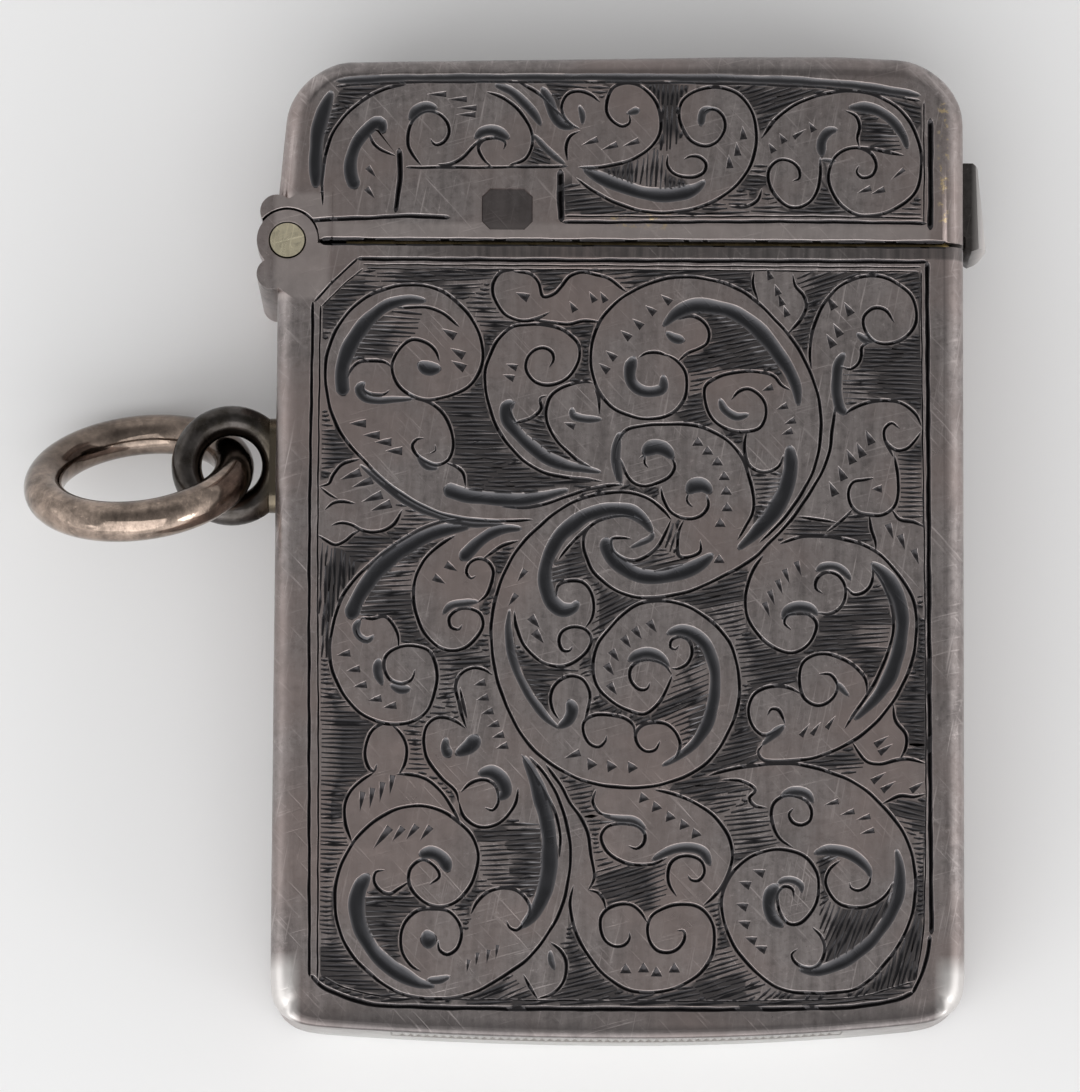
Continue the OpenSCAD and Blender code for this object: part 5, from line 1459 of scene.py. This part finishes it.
# %% [markdown]
# Years in a pocket have rounded whatever stands proud: the stop lobes beside the hinge and all the
# edges of the thumb piece, which is also a little shorter and wider at its foot. The lobes of the two
# cheeks run on until they meet. The flush seams of the hinge stay sharp, so that they hardly show.

# %% Worn edges
LOBE_ROUND = 0.3 * MM
LOBE_MIDDLE = (-17.75 * MM, 13.55 * MM)
LOBE_REACH = 0.82 * MM
THUMB_ROUND = 0.3 * MM
THUMB_SHORTER = 0.6 * MM
THUMB_WIDER = 0.25 * MM
LOBE_ANGLE = 1.0
THUMB_ANGLE = 0.3
PROUD = 0.02
TOUCH = 1e-6


def wear(piece, radius, picked):
    """Rounds the picked edges of a piece."""
    form = bmesh.new()
    form.from_mesh(piece.data)
    edges = [edge for edge in form.edges if picked(edge)]
    bmesh.ops.bevel(form, geom=edges, offset=radius, offset_type="OFFSET", segments=4, profile=0.5,
                    affect="EDGES", material=-1, clamp_overlap=True)
    form.to_mesh(piece.data)
    form.free()
    print("  worn:", piece.name, len(edges), "edges")


def proud_lobe(edge):
    """An edge of the flat front or back that lies outside the side wall."""
    outside = all(point.co.x < -(HALF_WIDTH + PROUD) * MM for point in edge.verts)
    on_face = [min(abs(point.co.z - face) for face in (front_face, back_face)) for point in edge.verts]
    level = max(on_face) < TOUCH
    return outside and level and len(edge.link_faces) == 2 and edge.calc_face_angle() > LOBE_ANGLE


def stretch_lobe(piece, middle_side):
    """Stretches the stop lobe of a cheek to the middle of the case, where it meets the other one."""
    middle = (front_face + back_face) / 2
    inner = [point.co.z for point in piece.data.vertices]
    inner = min(inner) if middle_side < 0 else max(inner)
    for point in piece.data.vertices:
        on_lobe = math.dist(point.co.xy, LOBE_MIDDLE) < LOBE_REACH
        if on_lobe and abs(point.co.z - inner) < TOUCH:
            point.co.z = middle


def sharp_edge(edge):
    """An edge at which two faces meet at an angle."""
    return len(edge.link_faces) == 2 and edge.calc_face_angle() > THUMB_ANGLE


worn_thumb = copy_of("thumb_piece", "worn_thumb_piece")
thumb_low, thumb_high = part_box("thumb_piece")
for point in worn_thumb.data.vertices:
    down = (thumb_high.y - point.co.y) / (thumb_high.y - thumb_low.y)
    out = (point.co.x - thumb_low.x) / (thumb_high.x - thumb_low.x)
    point.co.y += THUMB_SHORTER * down
    point.co.x += THUMB_WIDER * down * out
for lobed, middle_side in ((engraved_cheek, -1), (engraved_cheek_back, 1)):
    stretch_lobe(lobed, middle_side)
wear(worn_thumb, THUMB_ROUND, sharp_edge)
for lobed in (engraved_cheek, engraved_cheek_back, engraved_block):
    wear(lobed, LOBE_ROUND, proud_lobe)

DRESSED = [
    (engraved_body, "body_front_shell", "case_body"),
    (engraved_lid, "lid_front_shell", "lid"),
    (engraved_body_back, "body_back_shell", "case_body"),
    (engraved_lid_back, "lid_back_shell", "lid"),
    (engraved_cheek, "front_hinge_cheek", "case_body"),
    (engraved_cheek_back, "back_hinge_cheek", "case_body"),
    (engraved_block, "lid_hinge_block", "lid"),
    (worn_thumb, "thumb_piece", "lid"),
    (bent_striker, "striker_plate", "case_body"),
]
for piece, node, body in DRESSED:
    finish_shell(piece, node, body)
print(len(DRESSED), "copies take the place of their nodes")

# %% [markdown]
# Finishes. Worn silver is a metal whose colour wanders between mauve-grey and brown, with small
# scratches, soft dents, rubbed places, and tarnish in the cuts. Painted shade darkens some rims and
# the strip below the lid's edge, painted highlights light the lower corners, and a painted reflection
# of the table pales the foot. The same recipe, with other colours, makes the bronze ring, with painted
# shade on its upper part, the dark loop, the pale pin, the gilt bezel, the steel spring, and the silver
# of the thumb piece and the striker. Solder tints one end of the loop, and the gilt and the thumb piece
# are lighter at their outer ends. All of it follows a piece's own coordinates, so that it moves with
# the piece.

# %% Colour helpers
def mix(tree, share, first, second):
    """A colour between two others, each a socket or three numbers."""
    ends = [end if isinstance(end, bpy.types.NodeSocket) else (*end, 1) for end in (first, second)]
    links = {"Factor": share, 6: ends[0], 7: ends[1]}
    return add_node(tree, "ShaderNodeMix", links, data_type="RGBA").outputs[2]


def between(tree, value, low, high, to_low=0.0, to_high=1.0):
    """A value stretched from one range to another and kept inside it."""
    links = {"Value": value, "From Min": low, "From Max": high, "To Min": to_low, "To Max": to_high}
    return add_node(tree, "ShaderNodeMapRange", links).outputs["Result"]


def times(tree, first, second):
    """The product of two values."""
    return add_node(tree, "ShaderNodeMath", {0: first, 1: second}, operation="MULTIPLY").outputs[0]


def noise(tree, spot, scale, detail, rough=0.5):
    """Noise of some fineness, with finer noise on it."""
    links = {"Vector": spot, "Scale": scale, "Detail": detail, "Roughness": rough}
    return add_node(tree, "ShaderNodeTexNoise", links).outputs["Fac"]


def drawn_out(tree, spot, scale):
    """Places scaled by another amount along each axis."""
    return add_node(tree, "ShaderNodeMapping", {"Vector": spot, "Scale": scale}).outputs[0]


def on_box(tree, spot, low, high, soft):
    """One inside a box on the face and nothing outside it, with sides that fade over some way."""
    parts = add_node(tree, "ShaderNodeSeparateXYZ", {0: spot})
    inside = 1.0
    for axis, first, last, fade in zip("XY", low, high, soft):
        for start, stop in ((first - fade, first), (last + fade, last)):
            inside = times(tree, inside, between(tree, parts.outputs[axis], start * MM, stop * MM))
    return inside


# %% Places that are rubbed, and places darkened with painted shade
RUBBED_AND_PAINTED_SHADE_BOXES = [
    ((-14.5, 15.4), (15.6, 16.1), (0.25, 0.25), 0.55, "rubbed"),
    ((-17.5, 12.4), (-15.0, 17.6), (0.25, 0.25), 0.55, "rubbed"),
    # The three boxes below darken the top, left and bottom rims with painted shade; the two above are
    # rubbed.
    ((-15, 24.2), (14, 25.5), (2.0, 0.5), 0.45, "painted_shade"),
    ((-18, -20), (-16.9, 11.5), (0.3, 1.5), 0.25, "painted_shade"),
    ((-14, -25), (14, -23.7), (3.0, 0.4), 0.35, "painted_shade"),
]
# A streaked strip of painted shadow on the body, just below the lid's edge.
MOUTH_PAINTED_SHADOW = ((-7, 14.55), (17, 15.3), (6, 0.12))
BRASS_BOXES = [((16.3, 16.6), (16.6, 22.4)), ((-0.4, 16.3), (2.6, 16.5))]
# Painted highlights: the lower corners of the face turn light, where they would catch the lamps.
PAINTED_CORNER_HIGHLIGHTS = [
    {"ways": (("X", -15.9, -16.5), ("Y", -21.0, -22.0), ("Z", 7.0, 9.2)), "colour": (0.72, 0.69, 0.67)},
    {"ways": (("X", 15.9, 16.5), ("Y", -21.0, -22.0), ("Z", 7.0, 9.2)), "colour": (0.72, 0.69, 0.67)},
]
# Painted reflection: the end wall of the foot turns pale towards the back, as if it mirrored the pale
# table.
FOOT_TABLE_REFLECTION = {"ways": (("Y", -24.0, -24.6), ("Z", 6.0, 1.5)), "colour": (0.48, 0.47, 0.455)}
print(len(RUBBED_AND_PAINTED_SHADE_BOXES), "shaded places on the silver")

# %% Scratches, tarnish, painted shade and ends
SCRATCHES = ((0.2, 7000, 1.0), (-0.75, 5200, 0.8), (1.3, 6100, 0.6))


def scratches(tree, spot):
    """Fine straight scratches in a few directions."""
    mark = None
    for turn, across, most in SCRATCHES:
        turned = add_node(tree, "ShaderNodeMapping", {"Vector": spot, "Rotation": (0, 0, turn)})
        streak = noise(tree, drawn_out(tree, turned.outputs[0], (across, 230, 900)), 1.0, 2.0)
        line = between(tree, streak, 0.62, 0.76, 0, most)
        mark = line if mark is None else add_node(
            tree, "ShaderNodeMath", {0: mark, 1: line}, operation="MAXIMUM").outputs[0]
    return mark


def stains_and_painted_shade(tree, colour, spot, grain, tarnish_and_shade):
    """The colour with the stains of the outside, rubbed places, brass flecks, and painted shade on the
    rims and below the lid's edge.
    """
    wide = noise(tree, spot, 130.0, 4.0)
    colour = mix(tree, between(tree, wide, 0.42, 0.62, 0, 0.75), colour, tarnish_and_shade["brown"])
    for low, high, soft, share, shade in RUBBED_AND_PAINTED_SHADE_BOXES:
        shaded = times(tree, on_box(tree, spot, low, high, soft), share)
        colour = mix(tree, shaded, colour, tarnish_and_shade[shade])
    # Painted shadow: a streaked dark strip on the body just below the lid's edge.
    streak = noise(tree, drawn_out(tree, spot, (2600, 200, 200)), 1.0, 3.0)
    painted_shade = times(tree, on_box(tree, spot, *MOUTH_PAINTED_SHADOW), between(tree, streak, 1.0, 0.3))
    colour = mix(tree, painted_shade, colour, tarnish_and_shade["painted_shade"])
    for low, high in BRASS_BOXES:
        box = on_box(tree, spot, low, high, (0.2, 0.5))
        fleck = times(tree, box, between(tree, grain, 0.45, 0.39))
        colour = mix(tree, fleck, colour, tarnish_and_shade["brass"])
    return colour


def dark_in_cuts(tree, colour, tarnish_and_shade):
    """The colour darkened by what was kept of the cuts: tarnish, and painted shade on the foot's edge and
    in the gouges.
    """
    deep, ground, hollow = (
        add_node(tree, "ShaderNodeAttribute", attribute_name=kept).outputs["Fac"]
        for kept in ("depth", "ground", "scooped"))
    top = mix(tree, ground, colour, tarnish_and_shade["ridge_and_edge_shade"])
    cut_shade = mix(tree, ground, tarnish_and_shade["line"], tarnish_and_shade["cut"])
    colour = mix(tree, between(tree, deep, 0, 0.1), top, cut_shade)
    colour = mix(tree, between(tree, hollow, 0, 0.22), colour, tarnish_and_shade["scoop"])
    # The deepest part of a gouge darkens further: tarnish, and painted shade.
    return mix(tree, between(tree, hollow, 0.18, 0.8), colour, tarnish_and_shade["hollow"])


def other_end(tree, colour, spot, end):
    """The colour changed towards one end of a piece."""
    parts = add_node(tree, "ShaderNodeSeparateXYZ", {0: spot})
    share = 1.0
    for axis, start, stop in end["ways"]:
        share = times(tree, share, between(tree, parts.outputs[axis], start * MM, stop * MM))
    return mix(tree, share, colour, end["colour"])


# %% Metal recipe
DENT = 0.25
SPECKLE = 0.4


def metal(name, light, dark, rough, scratch=0.5, wipe=0.5, tarnish_and_shade=None, ends=()):
    """A worn metal whose colour wanders between a light and a dark one."""
    made = bpy.data.materials.new(name)
    made.use_nodes = True
    tree = made.node_tree
    skin = tree.nodes["Principled BSDF"]
    skin.inputs["Metallic"].default_value = 1.0
    spot = add_node(tree, "ShaderNodeTexCoord").outputs["Object"]
    cloud = noise(tree, spot, 700.0, 6.0, 0.66)
    wiped = noise(tree, drawn_out(tree, spot, (1700, 170, 400)), 1.0, 5.0, 0.65)
    blend = add_node(tree, "ShaderNodeMix", {"Factor": wipe, 2: cloud, 3: wiped}).outputs[0]
    colour = mix(tree, between(tree, blend, 0.39, 0.61), dark, light)
    grain = noise(tree, spot, 2400.0, 4.0, 0.7)
    colour = mix(tree, between(tree, grain, 0.5, 0.68, 0, SPECKLE), colour, [0.4 * part for part in dark])
    colour = mix(tree, between(tree, grain, 0.4, 0.3, 0, SPECKLE), colour, [1.7 * part for part in light])
    mark = scratches(tree, spot)
    colour = mix(tree, times(tree, mark, scratch), colour, [1.6 * part for part in light])
    if tarnish_and_shade:
        colour = stains_and_painted_shade(tree, colour, spot, grain, tarnish_and_shade)
        colour = dark_in_cuts(tree, colour, tarnish_and_shade)
    for end in ends:
        colour = other_end(tree, colour, spot, end)
    tree.links.new(colour, skin.inputs["Base Color"])
    level = between(tree, cloud, 0.3, 0.7, rough + 0.07, rough - 0.07)
    tree.links.new(level, skin.inputs["Roughness"])
    soft = noise(tree, spot, 320.0, 3.0)
    worn = add_node(tree, "ShaderNodeBump", {"Height": soft, "Strength": DENT, "Distance": 0.0002})
    cut = add_node(tree, "ShaderNodeBump", {
        "Height": mark, "Normal": worn.outputs[0], "Strength": scratch, "Distance": 0.00001}, invert=True)
    tree.links.new(cut.outputs[0], skin.inputs["Normal"])
    return made


# %% The finishes
TARNISH_AND_PAINTED_SHADE = {
    "brown": (0.34, 0.274, 0.256), "rubbed": (0.54, 0.475, 0.455), "painted_shade": (0.10, 0.092, 0.09),
    "brass": (0.60, 0.47, 0.29), "ridge_and_edge_shade": (0.102, 0.093, 0.093), "cut": (0.03, 0.029, 0.031),
    "line": (0.048, 0.045, 0.047), "scoop": (0.115, 0.111, 0.116), "hollow": (0.05, 0.05, 0.054),
}
silver = metal("worn_silver", (0.415, 0.37, 0.36), (0.225, 0.199, 0.193), 0.33, scratch=0.65,
               tarnish_and_shade=TARNISH_AND_PAINTED_SHADE, ends=[FOOT_TABLE_REFLECTION, *PAINTED_CORNER_HIGHLIGHTS])
shaded_silver = metal("shaded_silver", (0.10, 0.092, 0.088), (0.055, 0.05, 0.048), 0.34, ends=[
    {"ways": (("X", 18.0, 18.75),), "colour": (0.75, 0.71, 0.69)}])
sooty_silver = metal("sooty_silver", (0.42, 0.40, 0.39), (0.33, 0.31, 0.30), 0.5, ends=[FOOT_TABLE_REFLECTION])
# The ring darkens towards its upper part: painted shade.
ring_bronze = metal(
    "ring_bronze", (0.44, 0.345, 0.284), (0.18, 0.142, 0.118), 0.13, scratch=0.2, wipe=0.1, ends=[
        {"ways": (("Y", 3.0, 4.8), ("Z", -4.0, 9.0)), "colour": (0.09, 0.072, 0.061)}])
dark_loop = metal(
    "dark_loop", (0.10, 0.09, 0.085), (0.04, 0.035, 0.03), 0.24, scratch=0.2, wipe=0.1, ends=[
        {"ways": (("X", -18.6, -17.6),), "colour": (0.15, 0.125, 0.09)}])
pale_pin = metal("pale_pin", (0.88, 0.80, 0.58), (0.72, 0.64, 0.46), 0.3)
gilt = metal("gilt", (0.16, 0.12, 0.06), (0.08, 0.06, 0.03), 0.36, ends=[
    {"ways": (("X", 16.0, 16.8),), "colour": (0.66, 0.48, 0.18)}])
steel = metal("spring_steel", (0.40, 0.41, 0.43), (0.22, 0.22, 0.24), 0.3)
print("the main finish is", silver.name, "with", len(silver.node_tree.nodes), "nodes")

# %% Put the finishes on
FINISH_OF = {
    "mouth_bezel": gilt, "hinge_pin": pale_pin, "lid_spring": steel,
    "spring_rivet": silver, "suspension_loop": dark_loop, "suspension_ring": ring_bronze,
}
for node_name, finish in FINISH_OF.items():
    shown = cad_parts[node_name].data.materials
    shown.clear()
    shown.append(finish)
own_finish = {worn_thumb: shaded_silver, bent_striker: sooty_silver}
for piece, node, body in DRESSED:
    piece.data.materials.clear()
    piece.data.materials.append(own_finish.get(piece, silver))
print("finishes on", len(FINISH_OF) + len(DRESSED), "pieces")
